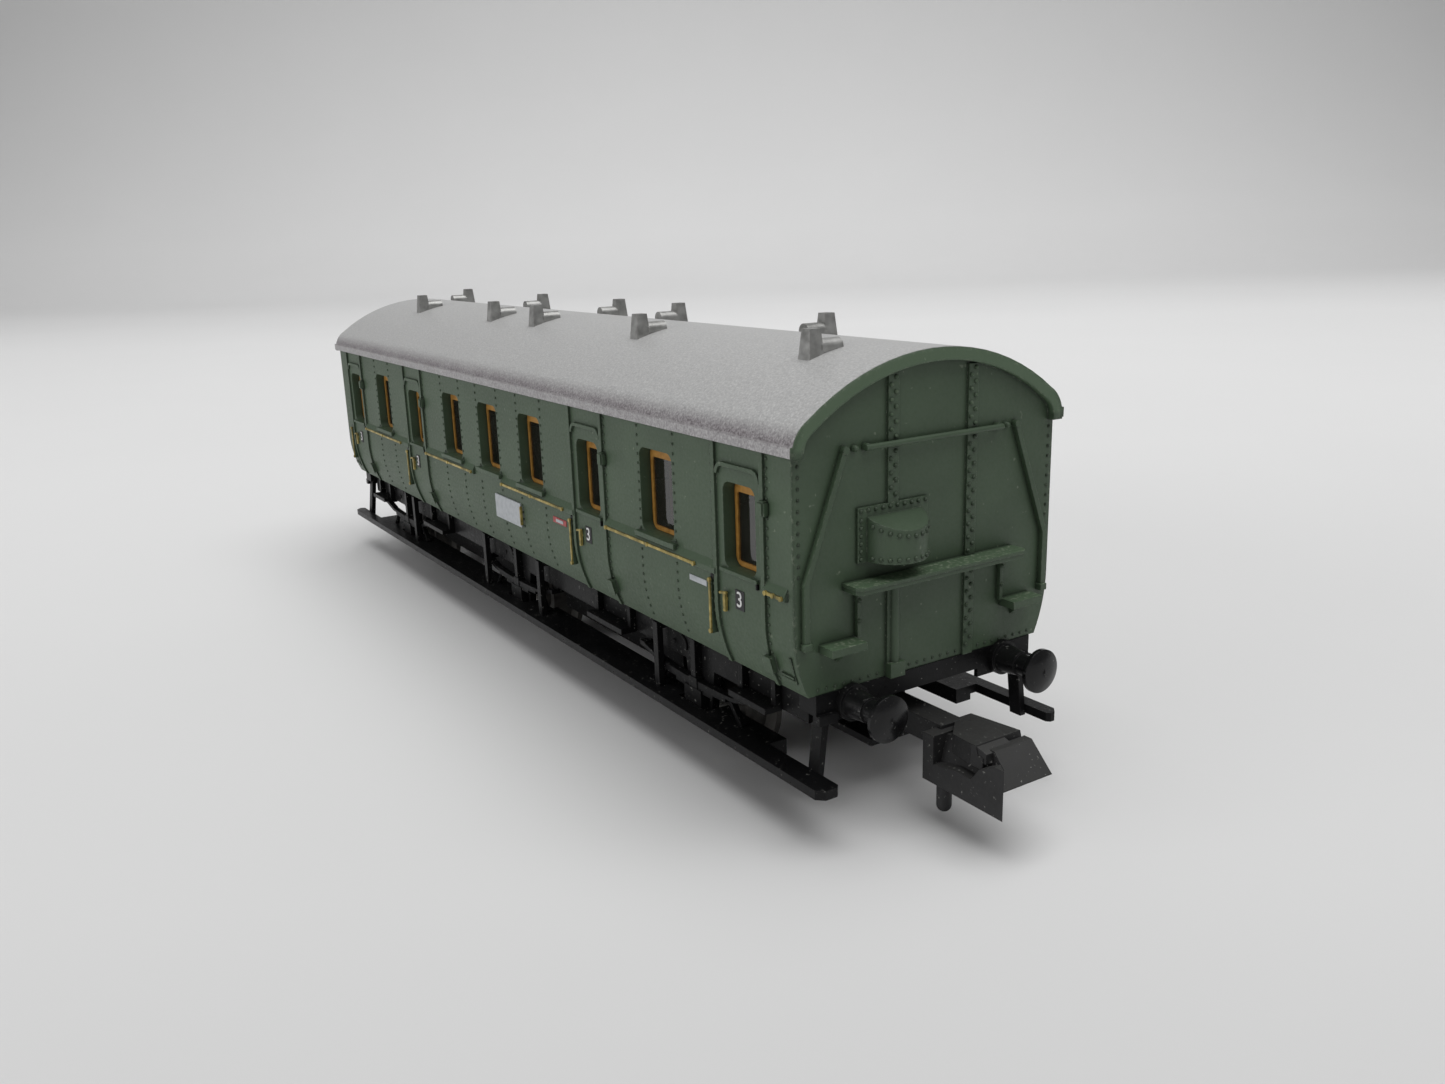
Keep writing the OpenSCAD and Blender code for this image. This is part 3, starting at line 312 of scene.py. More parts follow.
def roof_paint():
    """Speckled silver paint with a darker purple-grey band of painted shade where the roof turns down to its
    eaves.
    """
    mat, tree, shader, coords = new_look("roof_paint")
    speck = noise(tree, coords, 7500, 3, 0.7)
    silver = ramp(tree, speck, SILVER_TONES)
    eave_shade = ramp(tree, speck, EAVE_SHADE_TONES)
    cloud = span(tree, noise(tree, coords, 420, 3), 0.2, 0.6, 0.7, 1)
    height = places(tree, coords)[2]
    band = times(tree, span(tree, height, *BAND_FADE), span(tree, height, *LIP_FADE, LIP_SHARE, 1))
    # Painted shade on the steep eaves, weaker on the lip.
    tree.links.new(mixed(tree, times(tree, band, cloud), silver, eave_shade), shader.inputs["Base Color"])
    tree.links.new(varied(tree, speck, *SILVER_ROUGH), shader.inputs["Roughness"])
    shader.inputs["Metallic"].default_value = 0.3
    normal, _ = rounded_edges(tree, 0.08)
    bump(tree, shader, speck, 0.008, normal)
    return mat


# Colour of dust specks, also of the painted light on up-facing faces; share of painted shade in recesses, and
# their roughness
DUST_AND_TOP_LIGHT = (0.3, 0.3, 0.28)
RECESS_SHADE_SHARE = 0.6
RECESS_ROUGH = 0.8


def moulding(name, tones, rough, dust=0.0, top_light_and_dust=0.0, shine=0.5):
    """Bare moulded plastic with a fine satin grain and specks of dust, painted light on up-facing faces
    (partly a film of dust), and painted shade with duller gloss in its recesses.
    """
    mat, tree, shader, coords = new_look(name)
    colour = two_toned(tree, noise(tree, coords, 320, 4), tones)
    grain = noise(tree, coords, 3600, 3)
    recess = creases(tree, 2.5)
    settled = plus(tree, noise(tree, coords, 4300, 2), times(tree, recess, 0.05))
    grit = span(tree, settled, 0.68, 0.76, 0, dust)
    # Painted light on up-facing faces, partly a film of dust.
    colour = mixed(tree, times(tree, facing_up(tree), top_light_and_dust), colour, DUST_AND_TOP_LIGHT)
    # Painted shade in recesses and under the body.
    colour = mixed(tree, times(tree, recess, RECESS_SHADE_SHARE), colour, toned(0.3, tones[0]))
    colour = mixed(tree, grit, colour, DUST_AND_TOP_LIGHT)
    tree.links.new(colour, shader.inputs["Base Color"])
    shader.inputs["Specular IOR Level"].default_value = shine
    normal, _ = rounded_edges(tree, 0.06)
    satin = varied(tree, grain, *rough)
    tree.links.new(blended(tree, recess, satin, RECESS_ROUGH), shader.inputs["Roughness"])
    bump(tree, shader, grain, 0.006, normal)
    return mat


# Tool marks per metre along each axis: round the axles, or the same all round
TURNED = (300, 2600, 300)
ALL_ROUND = (1500, 1500, 1500)


def metal(name, tones, rough, marks_along):
    """Turned or cast metal with fine marks."""
    mat, tree, shader, coords = new_look(name)
    marks = noise(tree, stretched(tree, coords, marks_along), 1, 4)
    tree.links.new(two_toned(tree, marks, tones), shader.inputs["Base Color"])
    tree.links.new(varied(tree, marks, *rough), shader.inputs["Roughness"])
    shader.inputs["Metallic"].default_value = 0.9
    bump(tree, shader, marks, 0.004)
    return mat


GILT_TONES = ((0.28, (0.1, 0.095, 0.04)), (0.5, (0.32, 0.25, 0.07)), (0.72, (0.54, 0.43, 0.14)))
GILT_ROUGH = (0.6, 0.34)


def gilt():
    """Brass-coloured paint that lies unevenly on fine wire."""
    mat, tree, shader, coords = new_look("gilt_paint")
    patch = noise(tree, coords, 1500, 3)
    tree.links.new(ramp(tree, patch, GILT_TONES), shader.inputs["Base Color"])
    tree.links.new(varied(tree, patch, *GILT_ROUGH), shader.inputs["Roughness"])
    shader.inputs["Metallic"].default_value = 0.35
    bump(tree, shader, patch, 0.02)
    return mat


HAZE_TONES = ((0.02, 0.018, 0.014), (0.04, 0.036, 0.03))
HAZE_ROUGH = (0.02, 0.06)


def clear_plastic():
    """Thin clear glazing with a faint warm haze and a bright gloss."""
    mat, tree, shader, coords = new_look("clear_plastic")
    haze = noise(tree, coords, 500, 3)
    tree.links.new(two_toned(tree, haze, HAZE_TONES), shader.inputs["Base Color"])
    tree.links.new(varied(tree, haze, *HAZE_ROUGH), shader.inputs["Roughness"])
    shader.inputs["Alpha"].default_value = 0.4
    shader.inputs["IOR"].default_value = 2.2
    shader.inputs["Specular IOR Level"].default_value = 1
    return mat


INK_ROUGH = (0.45, 0.6)


def printed(name, tones):
    """Thin printed ink with small gaps in its cover."""
    mat, tree, shader, coords = new_look(name)
    cover = noise(tree, coords, 2400, 3)
    tree.links.new(ramp(tree, cover, ((0.3, tones[0]), (0.6, tones[1]))), shader.inputs["Base Color"])
    tree.links.new(varied(tree, cover, *INK_ROUGH), shader.inputs["Roughness"])
    bump(tree, shader, cover, 0.004)
    return mat


# Looks of the slots, and of the parts that have their own

LOOKS = {
    "body_green": painted("green_paint", ((0.043, 0.071, 0.039), (0.054, 0.087, 0.049)), (0.27, 0.31, 0.23)),
    "roof_silver": roof_paint(),
    "brass_trim": gilt(),
    "chassis_black": moulding("black_moulding", ((0.0035, 0.0035, 0.0038), (0.006, 0.006, 0.0064)),
                              (0.26, 0.4), dust=0.5, shine=0.15),
    "bright_steel": metal("turned_steel", ((0.38, 0.37, 0.35), (0.6, 0.59, 0.57)), (0.25, 0.42), TURNED),
    "wheel_metal": metal("blackened_wheel", ((0.045, 0.043, 0.04), (0.09, 0.086, 0.08)), (0.4, 0.55),
                         ALL_ROUND),
    "clear_glazing": clear_plastic(),
    "frame_ochre": printed("ochre_frame", ((0.26, 0.12, 0.015), (0.38, 0.19, 0.035))),
    "interior_brown": moulding("brown_moulding", ((0.07, 0.052, 0.04), (0.11, 0.083, 0.065)), (0.5, 0.65)),
}
# Darker green on the rivets: painted shade round them, partly dirt.
SHADED_RIVET_LOOK = painted("shaded_rivet_paint", ((0.03, 0.05, 0.027), (0.04, 0.065, 0.035)), (0.17, 0.21, 0.14))
# Painted light on the hook's up-facing faces, partly a film of dust.
HOOK_LOOK = moulding("hook_moulding", ((0.008, 0.008, 0.0084), (0.015, 0.015, 0.0155)), (0.4, 0.55),
                     dust=0.6, top_light_and_dust=0.075, shine=0.4)
BUFFER_LOOK = moulding("buffer_moulding", ((0.003, 0.003, 0.0033), (0.005, 0.005, 0.0054)), (0.16, 0.26),
                       dust=0.4, shine=0.3)
VENT_LOOK = metal("vent_silver", ((0.27, 0.27, 0.26), (0.44, 0.44, 0.43)), (0.36, 0.52), ALL_ROUND)
OWN_LOOKS = (("coupler_hook", HOOK_LOOK), ("buffer", BUFFER_LOOK), ("roof_vents", VENT_LOOK))
WHITE_INK = printed("white_ink", ((0.5, 0.5, 0.5), (0.72, 0.72, 0.71)))
LABEL_INK = printed("label_ink", ((0.33, 0.35, 0.37), (0.43, 0.45, 0.47)))
RED_INK = printed("red_ink", ((0.25, 0.04, 0.04), (0.4, 0.07, 0.07)))
DARK_INK = printed("dark_ink", ((0.006, 0.006, 0.007), (0.014, 0.014, 0.016)))

for part in frame["record"]["subparts"]:
    mesh = NODES[part["node"]].data
    own = [look for start, look in OWN_LOOKS if part["node"].startswith(start)]
    mesh.materials.clear()
    mesh.materials.append(own[0] if own else LOOKS[part["material_slot"]])


# Mesh helpers, all in millimetres

# How far small fittings go into the wall that carries them
SINK = 0.05
BAR_SINK = 0.03
RIVET_SINK = 0.03
RIVET_SIDES = 8
RIVET_SHOULDER = 0.72


def set_order(elements, place):
    """Sorts vertices or faces by place, because bevels leave them in no fixed order."""
    for i, element in enumerate(sorted(elements, key=lambda e: tuple(round(c, 5) for c in place(e)))):
        element.index = i
    elements.sort()


def finish_piece(name, bm, look, turn):
    """Turns a bmesh in millimetres into a piece on the coach, turned about Z by turn degrees."""
    bmesh.ops.recalc_face_normals(bm, faces=bm.faces)
    set_order(bm.verts, lambda v: v.co)
    set_order(bm.faces, lambda f: f.calc_center_median())
    bm.transform(Matrix.Rotation(math.radians(turn), 4, "Z") @ Matrix.Scale(MM, 4))
    mesh = bpy.data.meshes.new(name)
    bm.to_mesh(mesh)
    bm.free()
    mesh.materials.append(look)
    piece = bpy.data.objects.new(name, mesh)
    bpy.context.scene.collection.objects.link(piece)
    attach(piece, "coach")


def add_rivet(bm, place, normal, size):
    """A closed domed rivet head at place, standing along normal; size is its radius and height."""
    radius, height = size
    up = normal.normalized()
    side = up.orthogonal().normalized()
    other = up.cross(side)
    rings = ((1.0, -RIVET_SINK), (1.0, 0.0), (RIVET_SHOULDER, height * RIVET_SHOULDER))
    loops = []
    for share, rise in rings:
        loops.append([
            bm.verts.new(place + up * rise + (side * math.cos(a) + other * math.sin(a)) * radius * share)
            for a in (math.tau * i / RIVET_SIDES for i in range(RIVET_SIDES))
        ])
    for lower, upper in zip(loops, loops[1:]):
        for i in range(RIVET_SIDES):
            j = (i + 1) % RIVET_SIDES
            bm.faces.new((lower[i], lower[j], upper[j], upper[i])).smooth = True
    tip = bm.verts.new(place + up * height)
    for i in range(RIVET_SIDES):
        bm.faces.new((loops[-1][i], loops[-1][(i + 1) % RIVET_SIDES], tip)).smooth = True
    bm.faces.new(list(reversed(loops[0])))


def steps(start, stop, pitch):
    """Evenly spaced places from start to stop, about pitch apart."""
    count = max(1, round(abs(stop - start) / pitch))
    return [start + (stop - start) * i / count for i in range(count + 1)]


def add_block(bm, low, high, edge):
    """A block with slightly rounded edges."""
    made = bmesh.ops.create_cube(bm, size=1)["verts"]
    for v in made:
        v.co = Vector(l + (h - l) * (c + 0.5) for l, h, c in zip(low, high, v.co))
    edges = list(dict.fromkeys(e for v in made for e in v.link_edges))
    bmesh.ops.bevel(bm, geom=edges, offset=edge, segments=2, profile=0.5, affect="EDGES")


def add_bar(bm, start, end, wide, normal, tall):
    """A straight bar between two points of a surface, standing out along normal."""
    along = end - start
    across = normal.cross(along).normalized()
    middle = (start + end) / 2 + normal * (tall / 2 - BAR_SINK)
    deep = tall + 2 * BAR_SINK
    turn = Matrix((along.normalized(), across, normal)).transposed()
    made = bmesh.ops.create_cube(bm, size=1)["verts"]
    for v in made:
        v.co = middle + turn @ Vector((v.co.x * along.length, v.co.y * wide, v.co.z * deep))
    edges = list(dict.fromkeys(e for v in made for e in v.link_edges))
    bmesh.ops.bevel(bm, geom=edges, offset=min(wide, tall) * 0.25, segments=2, affect="EDGES")


def add_arc(bm, centre, radius, thick, first, last, count=14, sides=8):
    """A round wire bent to an arc in the x-z plane, with closed ends; angles in degrees."""
    loops = []
    for i in range(count + 1):
        a = math.radians(first + (last - first) * i / count)
        out = Vector((math.cos(a), 0, math.sin(a)))
        loops.append([
            bm.verts.new(centre + out * (radius + thick * math.cos(b)) + Vector((0, thick * math.sin(b), 0)))
            for b in (math.tau * k / sides for k in range(sides))
        ])
    for lower, upper in zip(loops, loops[1:]):
        for k in range(sides):
            bm.faces.new((lower[k], lower[(k + 1) % sides], upper[(k + 1) % sides], upper[k])).smooth = True
    bm.faces.new(loops[0])
    bm.faces.new(loops[-1])


# Rivets: radius and height of each kind, and how far apart they are
SMALL_RIVET = (0.1, 0.08)
POST_RIVET = (0.13, 0.13)
STRIP_RIVET = (0.13, 0.15)
PANEL_PITCH = 0.555
POST_PITCH = 0.5
STRIP_PITCH = 0.74

# Columns of a side, from the middle of a window or a door, and their upper and lower ends
WINDOW_COLUMNS = (-2.06, 2.06)
WINDOW_RUNS = ((EAVE_Z - 0.3, WAIST_Z + 0.7), (WAIST_Z - 0.65, BODY_BOTTOM + 0.6))
DOOR_COLUMNS = ((-2.52, POST_RIVET), (2.56, SMALL_RIVET))
DOOR_RUN = (EAVE_Z - 0.35, BODY_BOTTOM + 0.5)


def side_rivets(name, turn):
    """Rivet columns beside the windows and the door posts of one side."""
    bm = bmesh.new()

    def column(x, run, size, pitch):
        for z in steps(*run, pitch):
            add_rivet(bm, side_point(x, z), side_normal(z), size)

    for window in WINDOWS_X:
        for aside in WINDOW_COLUMNS:
            for run in WINDOW_RUNS:
                column(window + aside, run, SMALL_RIVET, PANEL_PITCH)
    for door in DOORS_X:
        for aside, size in DOOR_COLUMNS:
            column(door + aside, DOOR_RUN, size, POST_PITCH)
    finish_piece(name, bm, SHADED_RIVET_LOOK, turn)


# Rows of an end: the upright strips, the lower edge, the corners and the posts of the step board
STRIP_RUNS = ((STRIP_Y, (24.2, 14.3)), (STRIP_Y, (13.1, 8.9)), (-STRIP_Y, (24.2, 18.2)))
STRIP_STAGGER = (0.12, -0.19)
STRIP_CLEAR = 0.65
LOW_ROW = (-7.6, 7.6)
LOW_ROW_Z = BODY_BOTTOM + 0.28
CORNER_Y = 8.72
CORNER_RUN = (20.4, 14.8)
CORNER_PITCH = 0.56
BOARD_POST_X = END_X + 0.3
BOARD_POST_Y = 5.1
BOARD_POST_ROW = (11.9, 13.0)

# Rows of the box on the end: along its flange, and round its lower edge and its sloping lid
FLANGE_ROW = (-4.88, -0.55)
FLANGE_ROW_Z = 17.62
FLANGE_ROW_PITCH = 0.48
FLANGE_RUN = (17.14, 15.1)
FLANGE_RUN_PITCH = 0.41
BOX_ANGLES = range(-75, 76, 15)
BOX_LOW_Z = 15.15
BOX_LID_Z = 17.0
BOX_LID_DROP = 0.65


def end_rivets(name, turn):
    """Rivets on the upright strips, the lower edge, the corners, the board's posts and the box of one end."""
    bm = bmesh.new()

    def rivet(y, z, x=END_X, size=SMALL_RIVET):
        add_rivet(bm, Vector((x, y, z)), Vector((1, 0, 0)), size)

    for y, run in STRIP_RUNS:
        for i, z in enumerate(steps(*run, STRIP_PITCH / 2)):
            rivet(y + STRIP_STAGGER[i % 2], z, END_X + RELIEF, STRIP_RIVET)
    for y in steps(*LOW_ROW, PANEL_PITCH):
        if abs(abs(y) - STRIP_Y) > STRIP_CLEAR:
            rivet(y, LOW_ROW_Z)
    for s in (-1, 1):
        for z in steps(*CORNER_RUN, CORNER_PITCH):
            rivet(s * CORNER_Y, z)
        for z in BOARD_POST_ROW:
            rivet(s * BOARD_POST_Y, z, BOARD_POST_X, POST_RIVET)
    for y in steps(*FLANGE_ROW, FLANGE_ROW_PITCH):
        rivet(y, FLANGE_ROW_Z, END_X + RELIEF, POST_RIVET)
    for z in steps(*FLANGE_RUN, FLANGE_RUN_PITCH):
        rivet(FLANGE_ROW[0], z, END_X + RELIEF, POST_RIVET)
    for angle in BOX_ANGLES:
        a = math.radians(angle)
        normal = Vector((math.cos(a), math.sin(a), 0))
        for z in (BOX_LOW_Z, BOX_LID_Z - BOX_LID_DROP * math.cos(a)):
            add_rivet(bm, Vector((END_X + RELIEF / 2, BOX_Y, z)) + normal * BOX_R, normal, POST_RIVET)
    finish_piece(name, bm, SHADED_RIVET_LOOK, turn)


for name, turn in SIDES:
    side_rivets(f"rivets_{name}", turn)
for name, turn in ENDS:
    end_rivets(f"rivets_{name}", turn)


# Plates and labels: spans along X and Z on one side, and how far they stand out
PLATE_T = 0.04
PLATE_EDGE = 0.02
CLASS_PLATE_W = 0.84
CLASS_PLATE_Z = (11.95, 13.05)
CLASS_ASIDE_OUTER = 0.1
CLASS_ASIDE_INNER = 0.4
OUTER_DOORS_X = 20
NUMERAL_Z = 12.5
NUMERAL_H = 0.85
NUMERAL_OUT = 0.05
NUMERAL_THICK = 0.02
DIGIT_SHARE = 0.7
LABELS = (
    ("route_board", (0.65, 5.4), (10.85, 12.65), LABEL_INK, 0.1),
    ("small_label", (29.1, 30.9), (12.48, 12.82), LABEL_INK, PLATE_T),
    ("red_label", (10.95, 13.05), (12.36, 12.78), RED_INK, PLATE_T),
    ("red_label_field", (11.5, 12.6), (12.46, 12.68), LABEL_INK, 0.08),
)


def side_plates(name, x_spans, z_span, look, thick, turn):
    """Thin flat plates on one side, one for each span along X."""
    bm = bmesh.new()
    for x0, x1 in x_spans:
        add_block(bm, (x0, -HALF_W - thick, z_span[0]), (x1, -HALF_W + SINK, z_span[1]), PLATE_EDGE)
    finish_piece(name, bm, look, turn)


def numerals(name, centres, turn):
    """The class number on each door of one side, as raised ink."""
    curve = bpy.data.curves.new(name, "FONT")
    curve.body = "3"
    curve.size = NUMERAL_H / DIGIT_SHARE * MM
    curve.extrude = NUMERAL_THICK * MM
    curve.align_x, curve.align_y = "CENTER", "CENTER"
    source = bpy.data.objects.new(name + "_source", curve)
    bpy.context.scene.collection.objects.link(source)
    bpy.context.view_layer.update()
    glyph = bpy.data.meshes.new_from_object(source.evaluated_get(bpy.context.evaluated_depsgraph_get()))
    bpy.data.objects.remove(source)
    bm = bmesh.new()
    for x in centres:
        start = len(bm.verts)
        bm.from_mesh(glyph)
        bm.verts.ensure_lookup_table()
        upright = Matrix.Rotation(math.pi / 2, 4, "X")
        place = Matrix.Translation((x, -HALF_W - NUMERAL_OUT, NUMERAL_Z)) @ upright
        bmesh.ops.transform(bm, matrix=place @ Matrix.Scale(1 / MM, 4), verts=bm.verts[start:])
    finish_piece(name, bm, WHITE_INK, turn)


def class_place(door):
    """The middle of a door's class plate, a little to the left of the door's own."""
    return door - (CLASS_ASIDE_OUTER if abs(door) > OUTER_DOORS_X else CLASS_ASIDE_INNER)


for name, turn in SIDES:
    centres = [class_place(door) for door in DOORS_X]
    spans = [(x - CLASS_PLATE_W / 2, x + CLASS_PLATE_W / 2) for x in centres]
    side_plates(f"class_plates_{name}", spans, CLASS_PLATE_Z, DARK_INK, PLATE_T, turn)
    numerals(f"class_numbers_{name}", centres, turn)
    for label, x_span, z_span, look, thick in LABELS:
        side_plates(f"{label}_{name}", [x_span], z_span, look, thick, turn)


# Small fittings of a side: hinges and the brackets at its lower corners
HINGE_X = 2.42
HINGES_Z = (9.3, 17.55)
HINGE_H = 0.85
HINGE_MIDDLE = 0.4
HINGE_W = 0.6
HINGE_T = 0.4
BRACKETS_X = (-38.7, 37.4)
BRACKET_BARS = (((0.0, 9.3), (1.1, 9.3)), ((1.1, 9.0), (1.1, 10.5)))
BRACKET_W = 0.17
BRACKET_T = 0.08

# Door latch and socket of the grab handle: spans along X and Z, how far it stands out, edge radius
LATCH = ((1.56, 1.72), (13.5, 14.0), 0.14, 0.03)
SOCKET = ((-2.78, -2.42), (13.12, 13.42), 0.16, 0.04)

# Fittings beside each axle: spring teeth, a curled bracket with its boss, and two struts
TEETH_X = (-0.42, -0.2)
TEETH_RUN = (6.4, 7.7)
TEETH_PITCH = 0.32
TOOTH_H = 0.18
TOOTH_OUT = 0.5
TOOTH_EDGE = 0.04
CURL_X = -2.05
CURL_Z = 6.88
CURL_OUT = 0.04
CURL_R = 0.62
CURL_WIRE = 0.09
CURL_ANGLES = (95, -15)
CURL_BOSS_X = -2.95
CURL_BOSS_Z = 6.86
CURL_BOSS = (0.17, 0.12)
STRUT_LOW = (4.8, 3.8)
STRUT_HIGH = (3.6, 5.1)
STRUT_W = 0.3

# Brass bars: across each door handle, and upright beside the route board
BRASS_OUT = 0.22
HANDLE_BAR = ((-1.72, 12.62), (-1.05, 12.74))
HANDLE_BAR_W = 0.13
HANDLE_BAR_T = 0.1
BOARD_BAR_X = 5.7
BOARD_BAR_Z = (11.1, 12.5)
BOARD_BAR_IN = 0.06
BOARD_BAR_W = 0.18
BOARD_BAR_T = 0.12

# Fittings of an end: bosses beside the rail and feet under its stays
RAIL_BOSS_Y = 5.25
RAIL_BOSS_Z = 20.88
RAIL_BOSS = (0.2, 0.4)
STAY_FOOT_Y = 8.42
STAY_FOOT_HALF = 0.24
STAY_FOOT_Z = (10.95, 11.35)
STAY_FOOT_OUT = 0.42
STAY_FOOT_EDGE = 0.05


def green_fittings(name, turn):
    """Door hinges, and a bracket at each lower corner of one side."""
    bm = bmesh.new()
    for door in DOORS_X:
        for z in HINGES_Z:
            low, high = side_point(door + HINGE_X, z), side_point(door + HINGE_X, z + HINGE_H)
            add_bar(bm, low, high, HINGE_W, side_normal(z + HINGE_MIDDLE), HINGE_T)
    for corner in BRACKETS_X:
        for (x0, z0), (x1, z1) in BRACKET_BARS:
            start, end = side_point(corner + x0, z0), side_point(corner + x1, z1)
            add_bar(bm, start, end, BRACKET_W, side_normal((z0 + z1) / 2), BRACKET_T)
    finish_piece(name, bm, LOOKS["body_green"], turn)


def end_fittings(name, turn):
    """Bosses beside the rail, and a foot under each stay of one end."""
    bm = bmesh.new()
    for s in (-1, 1):
        add_rivet(bm, Vector((END_X, s * RAIL_BOSS_Y, RAIL_BOSS_Z)), Vector((1, 0, 0)), RAIL_BOSS)
        low = (END_X - SINK, s * STAY_FOOT_Y - STAY_FOOT_HALF, STAY_FOOT_Z[0])
        high = (END_X + STAY_FOOT_OUT, s * STAY_FOOT_Y + STAY_FOOT_HALF, STAY_FOOT_Z[1])
        add_block(bm, low, high, STAY_FOOT_EDGE)
    finish_piece(name, bm, LOOKS["body_green"], turn)


def black_fittings(name, turn):
    """Latches and handle sockets on the doors, spring teeth, curled brackets and struts under one side."""
    bm = bmesh.new()
    outward = Vector((0, -1, 0))
    for door in DOORS_X:
        for (x0, x1), (z0, z1), out, edge in (LATCH, SOCKET):
            add_block(bm, (door + x0, -HALF_W - out, z0), (door + x1, -HALF_W + SINK, z1), edge)
    for axle in AXLES_X:
        for z in steps(*TEETH_RUN, TEETH_PITCH):
            low = (axle + TEETH_X[0], -SOLEBAR_Y - TOOTH_OUT, z)
            high = (axle + TEETH_X[1], -SOLEBAR_Y + SINK, z + TOOTH_H)
            add_block(bm, low, high, TOOTH_EDGE)
        centre = Vector((axle + CURL_X, -SOLEBAR_Y - CURL_OUT, CURL_Z))
        add_arc(bm, centre, CURL_R, CURL_WIRE, *CURL_ANGLES)
        add_rivet(bm, Vector((axle + CURL_BOSS_X, -SOLEBAR_Y, CURL_BOSS_Z)), outward, CURL_BOSS)
        for s in (-1, 1):
            low, high = (Vector((axle + s * x, -SOLEBAR_Y, z)) for x, z in (STRUT_LOW, STRUT_HIGH))
            add_bar(bm, low, high, STRUT_W, outward, STRUT_W)
    finish_piece(name, bm, LOOKS["chassis_black"], turn)


def brass_fittings(name, turn):
    """The cross bars of the door handles and a short bar beside the route board of one side."""
    bm = bmesh.new()
    outer = -HALF_W - BRASS_OUT
    outward = Vector((0, -1, 0))
    for door in DOORS_X:
        low, high = (Vector((door + x, outer, z)) for x, z in HANDLE_BAR)
        add_bar(bm, low, high, HANDLE_BAR_W, outward, HANDLE_BAR_T)
    low, high = (Vector((BOARD_BAR_X, outer + BOARD_BAR_IN, z)) for z in BOARD_BAR_Z)
    add_bar(bm, low, high, BOARD_BAR_W, outward, BOARD_BAR_T)
    finish_piece(name, bm, LOOKS["brass_trim"], turn)


for name, turn in SIDES:
    green_fittings(f"green_fittings_{name}", turn)
    black_fittings(f"black_fittings_{name}", turn)
    brass_fittings(f"brass_fittings_{name}", turn)
for name, turn in ENDS:
    end_fittings(f"end_fittings_{name}", turn)


# Table, light and camera

# Camera: place in millimetres, directions in degrees, focal length in pixels of the image's width
CAMERA_PLACE = (83.6, -41.505, 31.495)
CAMERA_AZ = 57.505
CAMERA_EL = 14.925
CAMERA_ROLL = -1.78
FOCAL_PX = 1168.562
IMAGE_W = 1445
SENSOR_W = 36

# Painted light on the table, paler from the front to the backdrop, over its depth in millimetres
TABLE_DEPTH = (-60, 300)
TABLE_LIGHT_TONES = ((0.0, 0.63), (0.05, 0.68), (0.18, 0.74), (0.38, 0.8), (1.0, 0.9))

# Painted shade: how the backdrop dims over its height, and the table to the sides, in millimetres
DIM_HEIGHT = (30, 200)
DIM_ASIDE = 560
DIM_TO = 0.78

# Table and backdrop in metres
TABLE_NEAR = -2.0
TABLE_FAR = 0.55
TABLE_HALF = 2.5
BEND_R = 0.3
BEND_STEPS = 16
BACKDROP_TOP = 1.4

# Light of the surroundings on the scene, and as the camera sees them
WORLD_LEVEL = 0.25
WORLD_SEEN = 0.65


def studio_white(name):
    """Pale matt table with painted light, paler towards the backdrop; painted shade dims the backdrop upward
    and sideways; faint mottling.
    """
    mat, tree, shader, coords = new_look(name)
    x, y, z = places(tree, coords)
    # Painted light and shade: paler towards the backdrop, darker upward and sideways.
    colour = ramp(tree, span(tree, y, *TABLE_DEPTH), TABLE_LIGHT_TONES)
    upward = span(tree, z, *DIM_HEIGHT, 1, DIM_TO)
    light = times(tree, upward, span(tree, times(tree, x, x), 0, DIM_ASIDE ** 2, 1, DIM_TO))
    light = times(tree, light, varied(tree, noise(tree, coords, 14, 4), 0.985, 1))
    tree.links.new(mixed(tree, light, (0.0, 0.0, 0.0), colour), shader.inputs["Base Color"])
    shader.inputs["Roughness"].default_value = 0.75
    return mat


def sweep():
    """A table that curves up into a backdrop behind the coach, as seen by the camera."""
    bm = bmesh.new()
    profile = [(TABLE_NEAR, 0.0), (TABLE_FAR, 0.0)]
    profile += [(TABLE_FAR + BEND_R * math.sin(a), BEND_R * (1 - math.cos(a)))
                for a in (math.pi / 2 * i / BEND_STEPS for i in range(1, BEND_STEPS + 1))]
    profile.append((TABLE_FAR + BEND_R, BACKDROP_TOP))
    rows = [[bm.verts.new((s * TABLE_HALF, y, z)) for s in (-1, 1)] for y, z in profile]
    for a, b in zip(rows, rows[1:]):
        bm.faces.new((a[0], a[1], b[1], b[0])).smooth = True
    mesh = bpy.data.meshes.new("sweep")
    bm.to_mesh(mesh)
    bm.free()
    mesh.materials.append(studio_white("studio_white"))
    floor = bpy.data.objects.new("sweep", mesh)
    floor.rotation_euler.z = math.radians(CAMERA_AZ)
    bpy.context.scene.collection.objects.link(floor)


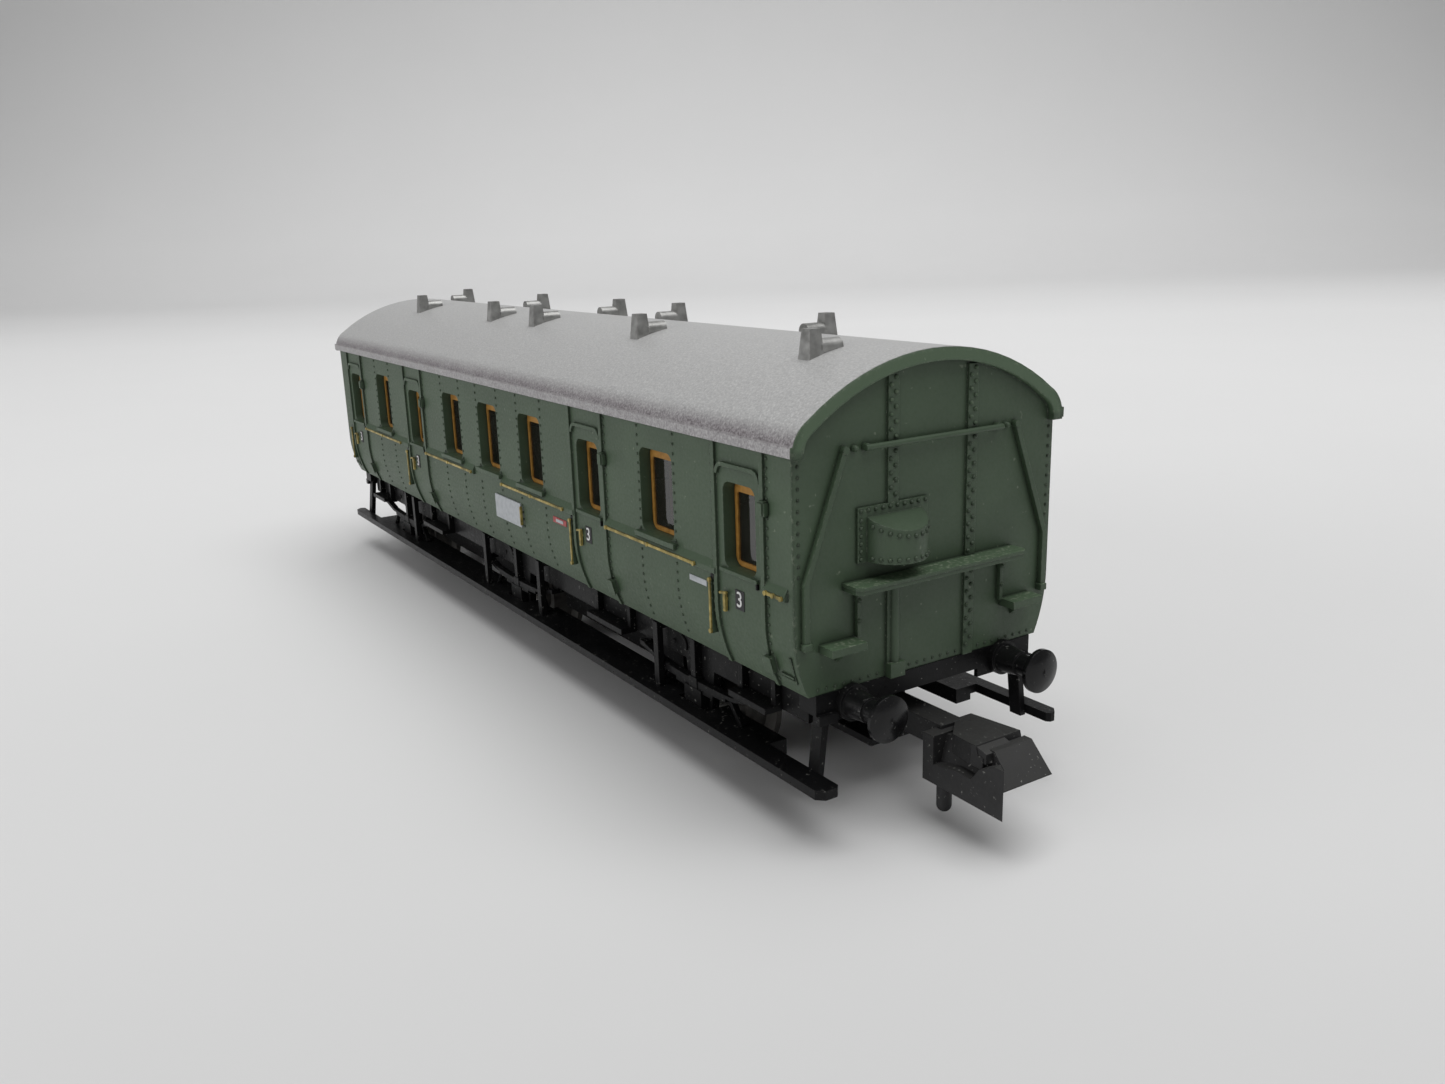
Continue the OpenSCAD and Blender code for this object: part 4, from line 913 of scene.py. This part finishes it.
def area_light(name, place, target, size, watts):
    """A square lamp that looks from place to target, in metres."""
    lamp = bpy.data.lights.new(name, "AREA")
    lamp.shape = "SQUARE"
    lamp.size = size
    lamp.energy = watts
    holder = bpy.data.objects.new(name, lamp)
    holder.location = place
    holder.rotation_euler = (Vector(target) - Vector(place)).to_track_quat("-Z", "Y").to_euler()
    bpy.context.scene.collection.objects.link(holder)


def make_camera():
    """The scene's camera, at the photograph's viewing angle."""
    az, el, roll = (math.radians(a) for a in (CAMERA_AZ, CAMERA_EL, CAMERA_ROLL))
    ahead = Vector((-math.sin(az) * math.cos(el), math.cos(az) * math.cos(el), -math.sin(el)))
    level = Vector((math.cos(az), math.sin(az), 0))
    upright = level.cross(ahead)
    right = level * math.cos(roll) + upright * math.sin(roll)
    up = upright * math.cos(roll) - level * math.sin(roll)
    data = bpy.data.cameras.new("camera")
    data.sensor_width = SENSOR_W
    data.lens = FOCAL_PX / IMAGE_W * SENSOR_W
    data.clip_start = 0.001
    data.clip_end = 20
    camera = bpy.data.objects.new("camera", data)
    turn = Matrix((right, up, -ahead)).transposed().to_4x4()
    camera.matrix_world = Matrix.Translation(Vector(CAMERA_PLACE) * MM) @ turn
    bpy.context.scene.collection.objects.link(camera)
    bpy.context.scene.camera = camera


def make_world(level, seen):
    """White surroundings that light the scene at one level and are seen by the camera at another."""
    world = bpy.data.worlds.new("world")
    world.use_nodes = True
    tree = world.node_tree
    background = tree.nodes["Background"]
    background.inputs["Color"].default_value = (1, 1, 1, 1)
    direct = tree.nodes.new("ShaderNodeLightPath").outputs["Is Camera Ray"]
    tree.links.new(span(tree, direct, 0, 1, level, seen), background.inputs["Strength"])
    bpy.context.scene.world = world


make_camera()
sweep()
make_world(WORLD_LEVEL, WORLD_SEEN)
area_light("softbox_top", place=(0.2, 0.06, 0.88), target=(0, 0, 0), size=0.9, watts=7.4)
area_light("softbox_side", place=(-0.1, -0.8, 0.14), target=(0, 0, 0.01), size=0.5, watts=2.5)
bpy.context.scene.view_settings.view_transform = "Standard"
